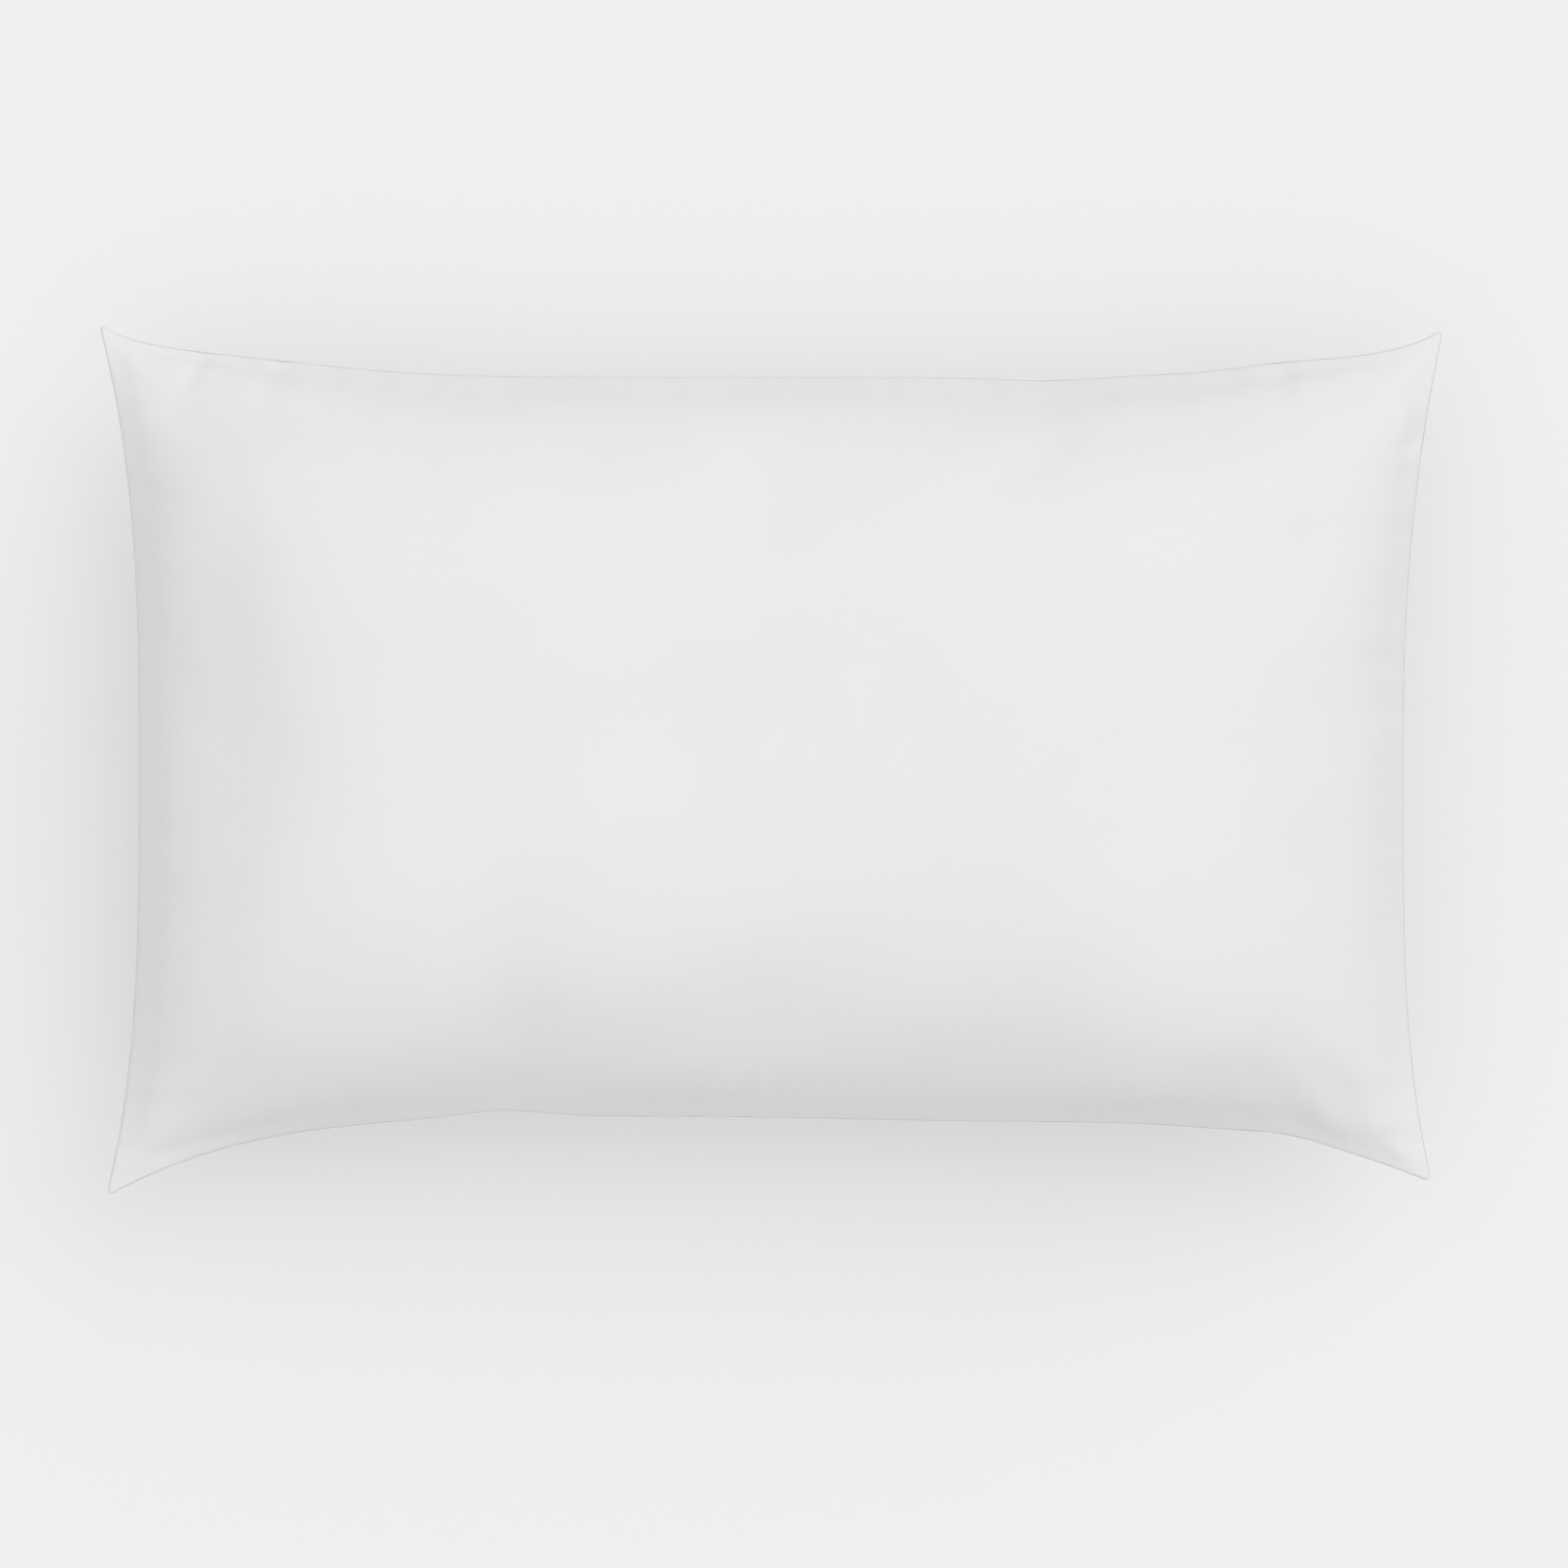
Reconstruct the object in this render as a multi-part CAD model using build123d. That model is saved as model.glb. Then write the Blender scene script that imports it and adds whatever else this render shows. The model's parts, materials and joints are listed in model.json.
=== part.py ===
from build123d import *
from math import cos, pi, radians, sin, sqrt
import os

# Bed pillow: a zipped cotton cover over an inner pillow of ticking and blown fibre, lying flat.
# Millimetres, +Z up. X runs along the long sides and Y across them. The origin is on the surface
# the pillow rests on, under the middle of its plan. The near long side, at -Y, has the zip.

# Plan of the cover's seam: four drawn-out corner tips, and the middle of each side between them
TIP_FAR_LEFT = (-353.5, 227.5)
TIP_FAR_RIGHT = (353.5, 225.0)
TIP_NEAR_LEFT = (-350.0, -227.5)
TIP_NEAR_RIGHT = (346.5, -221.5)
MID_LEFT = -332.5
MID_RIGHT = 332.5
MID_NEAR = -190.5
MID_FAR = 200.5
DRAW_SHORT_SIDE = 3.0       # power of the curve from a short side's middle out to its tips
DRAW_LONG_SIDE = 5.0        # the same on a long side, straighter in the middle

# Loft: the plump crown over the seam, and the belly under it, flattened by the surface below
SEAM_HEIGHT = 90.0
CROWN = 100.0
EDGE_SHARPNESS = 0.25       # 0 is a round edge, 1 a straight slope down to the seam
FULL_ACROSS = 3.0           # power of the arch across the pillow: 2 is round, more is fuller
FULL_ALONG = 4.5            # and along it, where the middle is long and nearly level

# Layers, each set inside the one before: in from the seam, down from the crown, back from the tips
CLOTH = 1.2
COVER_HOLLOW = {"inset": CLOTH, "drop": CLOTH, "tip_pull": 14.0}
TICKING_OUTSIDE = {"inset": 8.0, "drop": 2.2, "tip_pull": 28.0}
TICKING_HOLLOW = {"inset": 9.0, "drop": 3.2, "tip_pull": 34.0}
FILL_OUTSIDE = {"inset": 13.0, "drop": 3.6, "tip_pull": 50.0}
OUTSIDE = {"inset": 0.0, "drop": 0.0, "tip_pull": 0.0}

# Overlocked seams: flat rings of bound cloth edge, in the plane of the seam
COVER_SEAM_INSET = 2.0
TICKING_SEAM_INSET = 9.8
SEAM_TIP_PULL = 10.0        # how much further back from the tips than the hollow they lie in
SEAM_RING_WIDTH = 2.8
SEAM_RING_THICK = 1.0

# Closing stitch of the ticking, on the left side
CLOSING_INSET = 7.1
CLOSING_WIDTH = 0.6
CLOSING_LENGTH = 180.0

# Zip: a straight line set in the near wall of the back panel, below the seam
ZIP_BELOW_SEAM = 20.0
ZIP_TILT = 25.0             # the wall there leans in by this angle from the vertical
ZIP_BEHIND_WALL = 2.4       # middle of the tapes, behind the cloth's outer face
ZIP_GAP = 0.75              # half the gap between the tapes, where the slider's wedge runs
TAPE_LENGTH = 442.0
TAPE_WIDTH = 10.6
TAPE_THICK = 0.6
COIL_LENGTH = 391.0
COIL_WIDTH = 1.75
COIL_THICK = 1.6
STOP_LENGTH = 2.5
STOP_CLEAR = 0.5            # from the coil's end to the face of a stop
TACK_LENGTH = 2.0
TACK_AT = 213.0
OPENING_LENGTH = 431.0
OPENING_WIDTH = 9.6
STITCH_LENGTH = 437.0
STITCH_OFF = 7.5
THREAD_RADIUS = 0.2

# Slider, at the closed end, nose towards +X
SLIDER_AT = 190.5
SLIDER_LENGTH = 9.5
NOSE_WIDTH = 8.0
NOSE_CORNER = 1.0
TAIL_WIDTH = 7.0
PLATE_THICK = 0.9
PLATE_CORNER = 0.5
RUNNING_CLEAR = 0.4
FLANGE_THICK = 0.6
WEDGE_LENGTH = 3.0
WEDGE_WIDTH = 0.8
WEDGE_BACK = 0.5            # from the nose to the front of the wedge
CAP_LENGTH = 8.2
CAP_WIDTH = 2.6
CAP_HEIGHT = 2.0
CAP_WALL = 0.35
LUG_LENGTH = 1.8
LUG_HEIGHT = 1.2
BAR_RADIUS = 0.45
BAR_LIFT = 0.65             # middle of the pull's bar above the slider's top plate
TUNNEL_LENGTH = 1.6
TUNNEL_HEIGHT = 1.35
SPRING_LENGTH = 6.2
SPRING_WIDTH = 1.2
SPRING_THICK = 0.2
PRONG_AT = -2.3
PRONG_LENGTH = 0.5
PULL_LENGTH = 21.0
PULL_WIDTH = 5.4
PULL_THICK = 0.9
PULL_WINDOW_LENGTH = 4.7
PULL_WINDOW_WIDTH = 3.4

# Labels: folded ribbon, standing along the side walls between cover and ticking
LABEL_LENGTH = 40.0
LABEL_HEIGHT = 12.0
LABEL_THICK = 0.5
LABEL_AT = 325.9

# Points worked out over each crown, and along each side of a seam
GRID_LONG = 49
GRID_SHORT = 37
SEAM_MARKS = 17


def spread(t):
    """Share of the way from the middle to the seam, for a step t of -1 to 1 over the cloth."""
    return (1 - EDGE_SHARPNESS) * sin(pi * t / 2) + EDGE_SHARPNESS * t


def arch(t, fullness):
    """Height of the crown at step t, from 1 in the middle to 0 on the seam."""
    return sqrt(max(0, 1 - abs(sin(pi * t / 2)) ** fullness))


def side(u, mid, low_tip, high_tip, draw, layer):
    """Place of one side of the seam, u of -1 to 1 along it, for a layer of the pillow."""
    tip = high_tip if u > 0 else low_tip
    inward = -1 if mid > 0 else 1
    mid_in = mid + inward * layer["inset"]
    tip_in = tip + inward * (layer["inset"] + layer["tip_pull"])
    return mid_in + (tip_in - mid_in) * abs(u) ** draw


def plan(u, v, layer):
    """Point of a layer's plan at u, v of -1 to 1, between its four sides."""
    left = side(v, MID_LEFT, TIP_NEAR_LEFT[0], TIP_FAR_LEFT[0], DRAW_SHORT_SIDE, layer)
    right = side(v, MID_RIGHT, TIP_NEAR_RIGHT[0], TIP_FAR_RIGHT[0], DRAW_SHORT_SIDE, layer)
    near = side(u, MID_NEAR, TIP_NEAR_LEFT[1], TIP_NEAR_RIGHT[1], DRAW_LONG_SIDE, layer)
    far = side(u, MID_FAR, TIP_FAR_LEFT[1], TIP_FAR_RIGHT[1], DRAW_LONG_SIDE, layer)
    x = (left + right) / 2 + (right - left) / 2 * u
    y = (near + far) / 2 + (far - near) / 2 * v
    return x, y


def steps(count):
    return [2 * i / (count - 1) - 1 for i in range(count)]


def half(layer, up):
    """Solid between the plane of the seam and a layer's crown, above it or below it."""
    height = up * (CROWN - layer["drop"])
    points = []
    for a in steps(GRID_LONG):
        row = []
        for b in steps(GRID_SHORT):
            x, y = plan(spread(a), spread(b), layer)
            rise = height * arch(a, FULL_ALONG) * arch(b, FULL_ACROSS)
            row.append((x, y, SEAM_HEIGHT + rise))
        points.append(row)
    crown = Face.make_surface_from_array_of_points(points, tol=0.02, min_deg=3, max_deg=5)
    base = Face(Wire(crown.edges()))
    solid = Solid(Shell([crown, base]))
    if up < 0:
        over_floor = Pos(0, 0, layer["drop"] + CROWN) * Box(8 * CROWN, 8 * CROWN, 2 * CROWN)
        solid = (solid & over_floor).solid()
    return solid


def seam_area(inset, tip_pull):
    """Flat face inside a layer's seam line, its four sides as curves."""
    layer = {"inset": inset, "drop": 0, "tip_pull": tip_pull}
    marks = steps(SEAM_MARKS)
    near = Spline([plan(m, -1, layer) for m in marks])
    right = Spline([plan(1, m, layer) for m in marks])
    far = Spline([plan(m, 1, layer) for m in marks])
    left = Spline([plan(-1, m, layer) for m in marks])
    return Face(Wire([near, right, far, left]))


def seam_ring(inset, width, thick, tip_pull):
    """Flat ring that follows the seam, thick over and under its plane together."""
    ring = seam_area(inset, tip_pull) - seam_area(inset + width, tip_pull)
    return Pos(0, 0, SEAM_HEIGHT - thick / 2) * extrude(ring, thick)


def near_wall():
    """Y of the near wall's outer face in the middle of its length, at the height of the zip."""
    low = 0.0
    high = 1.0
    while high - low > 1e-6:
        b = (low + high) / 2
        if CROWN * arch(b, FULL_ACROSS) > ZIP_BELOW_SEAM:
            low = b
        else:
            high = b
    return plan(0, -spread(low), OUTSIDE)[1]


def block(x0, x1, y0, y1, z0, z1):
    """Box between two corners."""
    return Pos((x0 + x1) / 2, (y0 + y1) / 2, (z0 + z1) / 2) * Box(x1 - x0, y1 - y0, z1 - z0)


# The zip is drawn in its own frame: x along it, y up the wall, z out of the wall, and 0 in the
# middle of the tapes.
TILT = radians(ZIP_TILT)
OUTWARD = Vector(0, -cos(TILT), -sin(TILT))
ON_WALL = Vector(0, near_wall(), SEAM_HEIGHT - ZIP_BELOW_SEAM)
ZIP = Plane(origin=ON_WALL - OUTWARD * ZIP_BEHIND_WALL, x_dir=(1, 0, 0), z_dir=OUTWARD)

TAPE_FACE = TAPE_THICK / 2
COIL_FACE = TAPE_FACE + COIL_THICK
COIL_SIDE = ZIP_GAP + COIL_WIDTH
STOP_FACE = COIL_LENGTH / 2 + STOP_CLEAR
UPPER_PLATE = COIL_FACE + RUNNING_CLEAR
LOWER_PLATE = -TAPE_FACE - RUNNING_CLEAR
CAP_SEAT = UPPER_PLATE + PLATE_THICK
BAR_AT = CAP_SEAT + BAR_LIFT


def cover_front_panel():
    return half(OUTSIDE, 1) - half(COVER_HOLLOW, 1)


def cover_back_panel():
    """Lower cloth shell, flat where it rests, with the long opening for the zip in its wall."""
    opening = ZIP.location * Box(OPENING_LENGTH, OPENING_WIDTH, 4 * ZIP_BEHIND_WALL)
    return half(OUTSIDE, -1) - half(COVER_HOLLOW, -1) - opening


def ticking_panel(up):
    return half(TICKING_OUTSIDE, up) - half(TICKING_HOLLOW, up)


def fibre_fill():
    return half(FILL_OUTSIDE, 1) + half(FILL_OUTSIDE, -1)


def cover_overlocked_seam():
    pull = COVER_HOLLOW["tip_pull"] + SEAM_TIP_PULL
    return seam_ring(COVER_SEAM_INSET, SEAM_RING_WIDTH, SEAM_RING_THICK, pull)


def ticking_overlocked_seam():
    pull = TICKING_HOLLOW["tip_pull"] + SEAM_TIP_PULL
    return seam_ring(TICKING_SEAM_INSET, SEAM_RING_WIDTH, SEAM_RING_THICK, pull)


def ticking_closing_stitch():
    """Thread that shuts the gap in the ticking's left side, where the fibre was blown in."""
    pull = TICKING_OUTSIDE["tip_pull"]
    ring = seam_ring(CLOSING_INSET, CLOSING_WIDTH, CLOSING_WIDTH, pull)
    reach = CLOSING_LENGTH / 2
    return ring & block(2 * MID_LEFT, MID_LEFT / 2, -reach, reach, 0, 2 * SEAM_HEIGHT)


def label(at):
    """Folded ribbon that stands on the side wall at x, centred on the seam."""
    return Pos(at, 0, SEAM_HEIGHT) * Box(LABEL_THICK, LABEL_LENGTH, LABEL_HEIGHT)


def zip_tape(up):
    tape = block(-TAPE_LENGTH / 2, TAPE_LENGTH / 2, ZIP_GAP, TAPE_WIDTH, -TAPE_FACE, TAPE_FACE)
    return tape if up > 0 else mirror(tape, about=Plane.XZ)


def zip_coil(up):
    """One row of the nylon coil as a smooth bar of its outer section, rounded along the top."""
    row = block(-COIL_LENGTH / 2, COIL_LENGTH / 2, ZIP_GAP, COIL_SIDE, TAPE_FACE, COIL_FACE)
    row = fillet(row.edges().filter_by(Axis.X).group_by(Axis.Z)[-1], COIL_WIDTH / 4)
    return row if up > 0 else mirror(row, about=Plane.XZ)


def zip_top_stops():
    """Two clamps, one on each tape, against which the closed slider stops."""
    end = STOP_FACE + STOP_LENGTH
    upper = block(STOP_FACE, end, ZIP_GAP, COIL_SIDE, TAPE_FACE, COIL_FACE + RUNNING_CLEAR)
    return upper + mirror(upper, about=Plane.XZ)


def zip_bottom_stop():
    """Clamp across both tapes at the other end."""
    end = -STOP_FACE - STOP_LENGTH
    return block(end, -STOP_FACE, -COIL_SIDE, COIL_SIDE, TAPE_FACE, COIL_FACE)


def zip_bar_tacks():
    """A bar of thread across both tapes at each end of the opening."""
    start = TACK_AT - TACK_LENGTH / 2
    tack = block(start, start + TACK_LENGTH, -COIL_SIDE, COIL_SIDE, TAPE_FACE, 2 * TAPE_FACE)
    return tack + mirror(tack, about=Plane.YZ)


def zip_stitching():
    """Thread on the back of the tapes, that sews them to the cloth: two rows joined at the ends."""
    reach = STITCH_LENGTH / 2
    row = Rot(0, 90, 0) * Cylinder(THREAD_RADIUS, STITCH_LENGTH)
    turn = Rot(90, 0, 0) * Cylinder(THREAD_RADIUS, 2 * STITCH_OFF)
    rows = Pos(0, STITCH_OFF, 0) * row + Pos(0, -STITCH_OFF, 0) * row
    turns = Pos(reach, 0, 0) * turn + Pos(-reach, 0, 0) * turn
    return Pos(0, 0, -TAPE_FACE - THREAD_RADIUS) * (rows + turns)


def slider_plate(bottom):
    """Shield-shaped plate, wide at the nose and narrow at the tail."""
    back = -SLIDER_LENGTH / 2
    waist = SLIDER_LENGTH / 8
    front = SLIDER_LENGTH / 2
    half_nose = NOSE_WIDTH / 2
    half_tail = TAIL_WIDTH / 2
    upper = [(back, half_tail), (waist, half_tail),
             (front - NOSE_CORNER, half_nose), (front, half_nose - NOSE_CORNER)]
    lower = [(x, -y) for x, y in reversed(upper)]
    plate = extrude(make_face(Polyline(*upper, *lower, close=True)), PLATE_THICK)
    plate = fillet(plate.edges().filter_by(Axis.Z), PLATE_CORNER)
    face = plate.faces().sort_by(Axis.Z)[-1 if bottom > 0 else 0]
    return Pos(0, 0, bottom) * fillet(face.edges(), PLATE_THICK / 3)


def zip_slider_body():
    """Die-cast body: two plates joined by the wedge, flanges that guide the coil, and a lug."""
    back = -SLIDER_LENGTH / 2
    front = SLIDER_LENGTH / 2
    rail = TAIL_WIDTH / 2
    flange = block(back, front - NOSE_CORNER, rail - FLANGE_THICK, rail, -LOWER_PLATE, UPPER_PLATE)
    wedge_end = front - WEDGE_BACK
    half_wedge = WEDGE_WIDTH / 2
    start = wedge_end - WEDGE_LENGTH
    wedge = block(start, wedge_end, -half_wedge, half_wedge, LOWER_PLATE, UPPER_PLATE)
    body = slider_plate(UPPER_PLATE) + slider_plate(LOWER_PLATE - PLATE_THICK) + wedge
    body = body + flange + mirror(flange, about=Plane.XZ)
    lug_start = TUNNEL_LENGTH / 2 + CAP_WALL
    half_lug = CAP_WIDTH / 2 - 1.4 * CAP_WALL
    lug_top = CAP_SEAT + LUG_HEIGHT
    lug = block(lug_start, lug_start + LUG_LENGTH, -half_lug, half_lug, CAP_SEAT, lug_top)
    room = PRONG_LENGTH
    hole = block(PRONG_AT - room, PRONG_AT + room, -room, room, UPPER_PLATE, CAP_SEAT)
    return body + lug - hole


def zip_slider_cap():
    """Hollow cap over the lug and the spring, with a tunnel across it for the pull's bar."""
    reach = CAP_LENGTH / 2
    side_face = CAP_WIDTH / 2
    top = CAP_SEAT + CAP_HEIGHT
    shell = block(-reach, reach, -side_face, side_face, CAP_SEAT, top)
    shell = chamfer(shell.edges().group_by(Axis.Z)[-1].filter_by(Axis.Y), CAP_HEIGHT / 4)
    shell = fillet(shell.edges().group_by(Axis.Z)[-1], CAP_WALL * 0.7)
    inside = reach - 1.4 * CAP_WALL
    inner_side = side_face - CAP_WALL
    hollow = block(-inside, inside, -inner_side, inner_side, CAP_SEAT, top - CAP_WALL)
    hollow = chamfer(hollow.edges().group_by(Axis.Z)[-1].filter_by(Axis.Y), CAP_HEIGHT / 4)
    half_tunnel = TUNNEL_LENGTH / 2
    tunnel_top = CAP_SEAT + TUNNEL_HEIGHT
    tunnel = block(-half_tunnel, half_tunnel, -2 * side_face, 2 * side_face, CAP_SEAT, tunnel_top)
    return shell - hollow - tunnel


def zip_lock_spring():
    """Leaf that lies on the lug, with a prong that drops through the top plate to the coil."""
    low = CAP_SEAT + TUNNEL_HEIGHT - SPRING_THICK / 2
    reach = SPRING_LENGTH / 2
    half_width = SPRING_WIDTH / 2
    leaf = block(-reach, reach, -half_width, half_width, low, low + SPRING_THICK)
    half_prong = PRONG_LENGTH / 2
    tip = UPPER_PLATE + SPRING_THICK
    prong = block(PRONG_AT - half_prong, PRONG_AT + half_prong, -half_prong, half_prong, tip, low)
    return leaf + prong


def zip_pull_tab():
    """Teardrop pull on a round bar that turns in the cap's tunnel, lying back over the coil."""
    window_end = -PULL_WINDOW_LENGTH - BAR_RADIUS
    half_width = PULL_WIDTH / 2
    outline = Polyline((BAR_RADIUS, -half_width), (BAR_RADIUS, half_width),
                       (-PULL_LENGTH / 2, half_width * 0.8), (-PULL_LENGTH, half_width * 0.4),
                       (-PULL_LENGTH, -half_width * 0.4), (-PULL_LENGTH / 2, -half_width * 0.8),
                       close=True)
    plate = extrude(make_face(outline), PULL_THICK / 2, both=True)
    plate = fillet(plate.edges().filter_by(Axis.Z).group_by(Axis.X)[0], half_width * 0.35)
    plate = chamfer(plate.faces().filter_by(Axis.Z).edges(), PULL_THICK / 5)
    half_window = PULL_WINDOW_WIDTH / 2
    window = block(window_end, BAR_RADIUS, -half_window, half_window, -PULL_THICK, PULL_THICK)
    bar = Rot(90, 0, 0) * Cylinder(BAR_RADIUS, PULL_WIDTH)
    return Pos(0, 0, BAR_AT) * (plate - window + bar)


def on_zip(piece):
    return ZIP.location * piece


def on_slider(piece):
    return ZIP.location * Pos(SLIDER_AT, 0, 0) * piece


PIECES = {
    "cover_front_panel": cover_front_panel(),
    "cover_back_panel": cover_back_panel(),
    "cover_overlocked_seam": cover_overlocked_seam(),
    "cover_care_label": label(-LABEL_AT),
    "zip_tape_upper": on_zip(zip_tape(1)),
    "zip_tape_lower": on_zip(zip_tape(-1)),
    "zip_coil_upper": on_zip(zip_coil(1)),
    "zip_coil_lower": on_zip(zip_coil(-1)),
    "zip_top_stops": on_zip(zip_top_stops()),
    "zip_bottom_stop": on_zip(zip_bottom_stop()),
    "zip_bar_tacks": on_zip(zip_bar_tacks()),
    "zip_stitching": on_zip(zip_stitching()),
    "zip_slider_body": on_slider(zip_slider_body()),
    "zip_slider_cap": on_slider(zip_slider_cap()),
    "zip_lock_spring": on_slider(zip_lock_spring()),
    "zip_pull_tab": on_slider(zip_pull_tab()),
    "ticking_front_panel": ticking_panel(1),
    "ticking_back_panel": ticking_panel(-1),
    "ticking_overlocked_seam": ticking_overlocked_seam(),
    "ticking_closing_stitch": ticking_closing_stitch(),
    "ticking_label": label(LABEL_AT),
    "fibre_fill": fibre_fill(),
}

os.makedirs("parts", exist_ok=True)
for name, piece in PIECES.items():
    export_step(piece, "parts/" + name + ".step")
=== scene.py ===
import json
import bpy
import numpy as np
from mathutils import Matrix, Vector


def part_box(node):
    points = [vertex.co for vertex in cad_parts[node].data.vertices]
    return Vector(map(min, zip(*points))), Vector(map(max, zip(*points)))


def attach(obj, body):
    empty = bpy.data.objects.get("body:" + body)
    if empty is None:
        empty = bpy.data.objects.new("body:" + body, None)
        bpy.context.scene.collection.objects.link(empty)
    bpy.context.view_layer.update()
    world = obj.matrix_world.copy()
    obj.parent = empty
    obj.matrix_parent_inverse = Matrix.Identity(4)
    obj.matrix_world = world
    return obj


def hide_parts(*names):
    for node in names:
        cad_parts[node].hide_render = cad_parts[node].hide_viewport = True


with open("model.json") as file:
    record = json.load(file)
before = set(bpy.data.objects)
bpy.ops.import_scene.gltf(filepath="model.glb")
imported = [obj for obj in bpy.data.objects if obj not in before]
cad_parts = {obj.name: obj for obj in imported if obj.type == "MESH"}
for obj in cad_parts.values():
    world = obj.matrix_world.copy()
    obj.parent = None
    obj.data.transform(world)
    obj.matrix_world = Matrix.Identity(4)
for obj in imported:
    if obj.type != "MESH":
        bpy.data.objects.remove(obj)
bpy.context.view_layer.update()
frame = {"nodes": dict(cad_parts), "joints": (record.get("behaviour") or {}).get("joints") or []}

# ---------------------------------------------------------------------------------------------
# Studio: a plain pale floor, one wide soft light high beyond the far right corner, light from
# all round that is stronger from above, and a camera that looks straight down on the pillow.

FLOOR_HALF = 40.0
VIEW_WIDTH = 0.826          # what the picture shows across, at the height of the seam
CAMERA_HEIGHT = 3.2
CAMERA_OFFSET = (0.0065, -0.0145)
KEY_FROM = (0.58, 0.64, 0.70)
KEY_STRENGTH = 0.62
KEY_ANGLE = 1.0             # radians that the light spans, as seen from the pillow
LIGHT_LEVEL = 0.30          # of the room, level with the horizon
LIGHT_OVERHEAD = 1.26


def linear(code):
    """Linear colour of an sRGB hex code: each channel c becomes ((c + 0.055) / 1.055) ** 2.4."""
    channels = np.array([int(code[i:i + 2], 16) for i in (1, 3, 5)]) / 255
    low = channels / 12.92
    high = ((channels + 0.055) / 1.055) ** 2.4
    return (*np.where(channels <= 0.04045, low, high), 1.0)


def new_material(name, **sockets):
    """New material and its Principled shader, with constants set on the shader's sockets."""
    made = bpy.data.materials.new(name)
    made.use_nodes = True
    shader = made.node_tree.nodes["Principled BSDF"]
    for key, value in sockets.items():
        shader.inputs[key.replace("_", " ")].default_value = value
    return made, shader


def add(material, kind, settings=None, inputs=None, links=None):
    """Adds a node: settings are its properties, inputs its sockets' values, and links its
    sockets' sources, each an output socket."""
    node = material.node_tree.nodes.new(kind)
    for key, value in (settings or {}).items():
        setattr(node, key, value)
    for key, value in (inputs or {}).items():
        node.inputs[key].default_value = value
    for key, source in (links or {}).items():
        material.node_tree.links.new(source, node.inputs[key])
    return node


def feed(material, shader, **sources):
    """Links output sockets to the shader's sockets."""
    for key, source in sources.items():
        material.node_tree.links.new(source, shader.inputs[key.replace("_", " ")])


def mesh_piece(name, points, faces, uv=None, smooth=True):
    """Object at the origin from points and four-cornered faces, with a flat UV per point."""
    data = bpy.data.meshes.new(name)
    corners = faces.shape[1]
    data.vertices.add(len(points))
    data.vertices.foreach_set("co", np.asarray(points, np.float32).ravel())
    data.loops.add(faces.size)
    data.loops.foreach_set("vertex_index", faces.astype(np.int32).ravel())
    data.polygons.add(len(faces))
    data.polygons.foreach_set("loop_start", np.arange(0, faces.size, corners, dtype=np.int32))
    data.polygons.foreach_set("loop_total", np.full(len(faces), corners, np.int32))
    data.update(calc_edges=True)
    data.polygons.foreach_set("use_smooth", np.full(len(faces), smooth))
    if uv is not None:
        layer = data.uv_layers.new(name="cloth")
        layer.data.foreach_set("uv", np.asarray(uv, np.float32)[faces.ravel()].ravel())
    made = bpy.data.objects.new(name, data)
    bpy.context.scene.collection.objects.link(made)
    return made


# Opal acrylic, lit faintly from below, so that shadows on it stay pale
floor_board, _ = new_material("studio floor, lit opal acrylic", Roughness=0.9,
                              Specular_IOR_Level=0.1, Base_Color=linear("#cbcbcb"),
                              Emission_Color=(1, 1, 1, 1), Emission_Strength=0.235)
floor_corners = FLOOR_HALF * np.array([(-1, -1, 0), (1, -1, 0), (1, 1, 0), (-1, 1, 0)])
floor = mesh_piece("studio_floor", floor_corners, np.array([[0, 1, 2, 3]]))
floor.data.materials.append(floor_board)

world = bpy.context.scene.world or bpy.data.worlds.new("studio")
bpy.context.scene.world = world
world.use_nodes = True
direction = add(world, "ShaderNodeTexCoord").outputs["Generated"]
upward = add(world, "ShaderNodeSeparateXYZ", links={"Vector": direction}).outputs["Z"]
strength = add(world, "ShaderNodeMapRange", inputs={"To Min": LIGHT_LEVEL, "To Max": LIGHT_OVERHEAD},
               links={"Value": upward}).outputs["Result"]
world.node_tree.nodes["Background"].inputs["Color"].default_value = (1, 1, 1, 1)
world.node_tree.links.new(strength, world.node_tree.nodes["Background"].inputs["Strength"])

key_light = bpy.data.lights.new("key", "SUN")
key_light.energy = KEY_STRENGTH
key_light.angle = KEY_ANGLE
key = bpy.data.objects.new("key", key_light)
key.rotation_euler = (-Vector(KEY_FROM)).to_track_quat("-Z", "Y").to_euler()
bpy.context.scene.collection.objects.link(key)

seam_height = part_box("cover_front_panel")[0].z
lens = bpy.data.cameras.new("camera")
lens.sensor_width = 36
lens.lens = lens.sensor_width * (CAMERA_HEIGHT - seam_height) / VIEW_WIDTH
camera = bpy.data.objects.new("camera", lens)
camera.location = (*CAMERA_OFFSET, CAMERA_HEIGHT)
bpy.context.scene.collection.objects.link(camera)
bpy.context.scene.camera = camera
bpy.context.scene.view_settings.view_transform = "Standard"

# ---------------------------------------------------------------------------------------------
# Fibre fill: blown polyester fibre, about 0.9 kg of it. It is what gives the pillow its form, so
# the form that every layer shares is worked out here: first the loft of the filled bag, then how
# the cover's cloth, cut flat, settles over it under the fibre's pressure.

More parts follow.
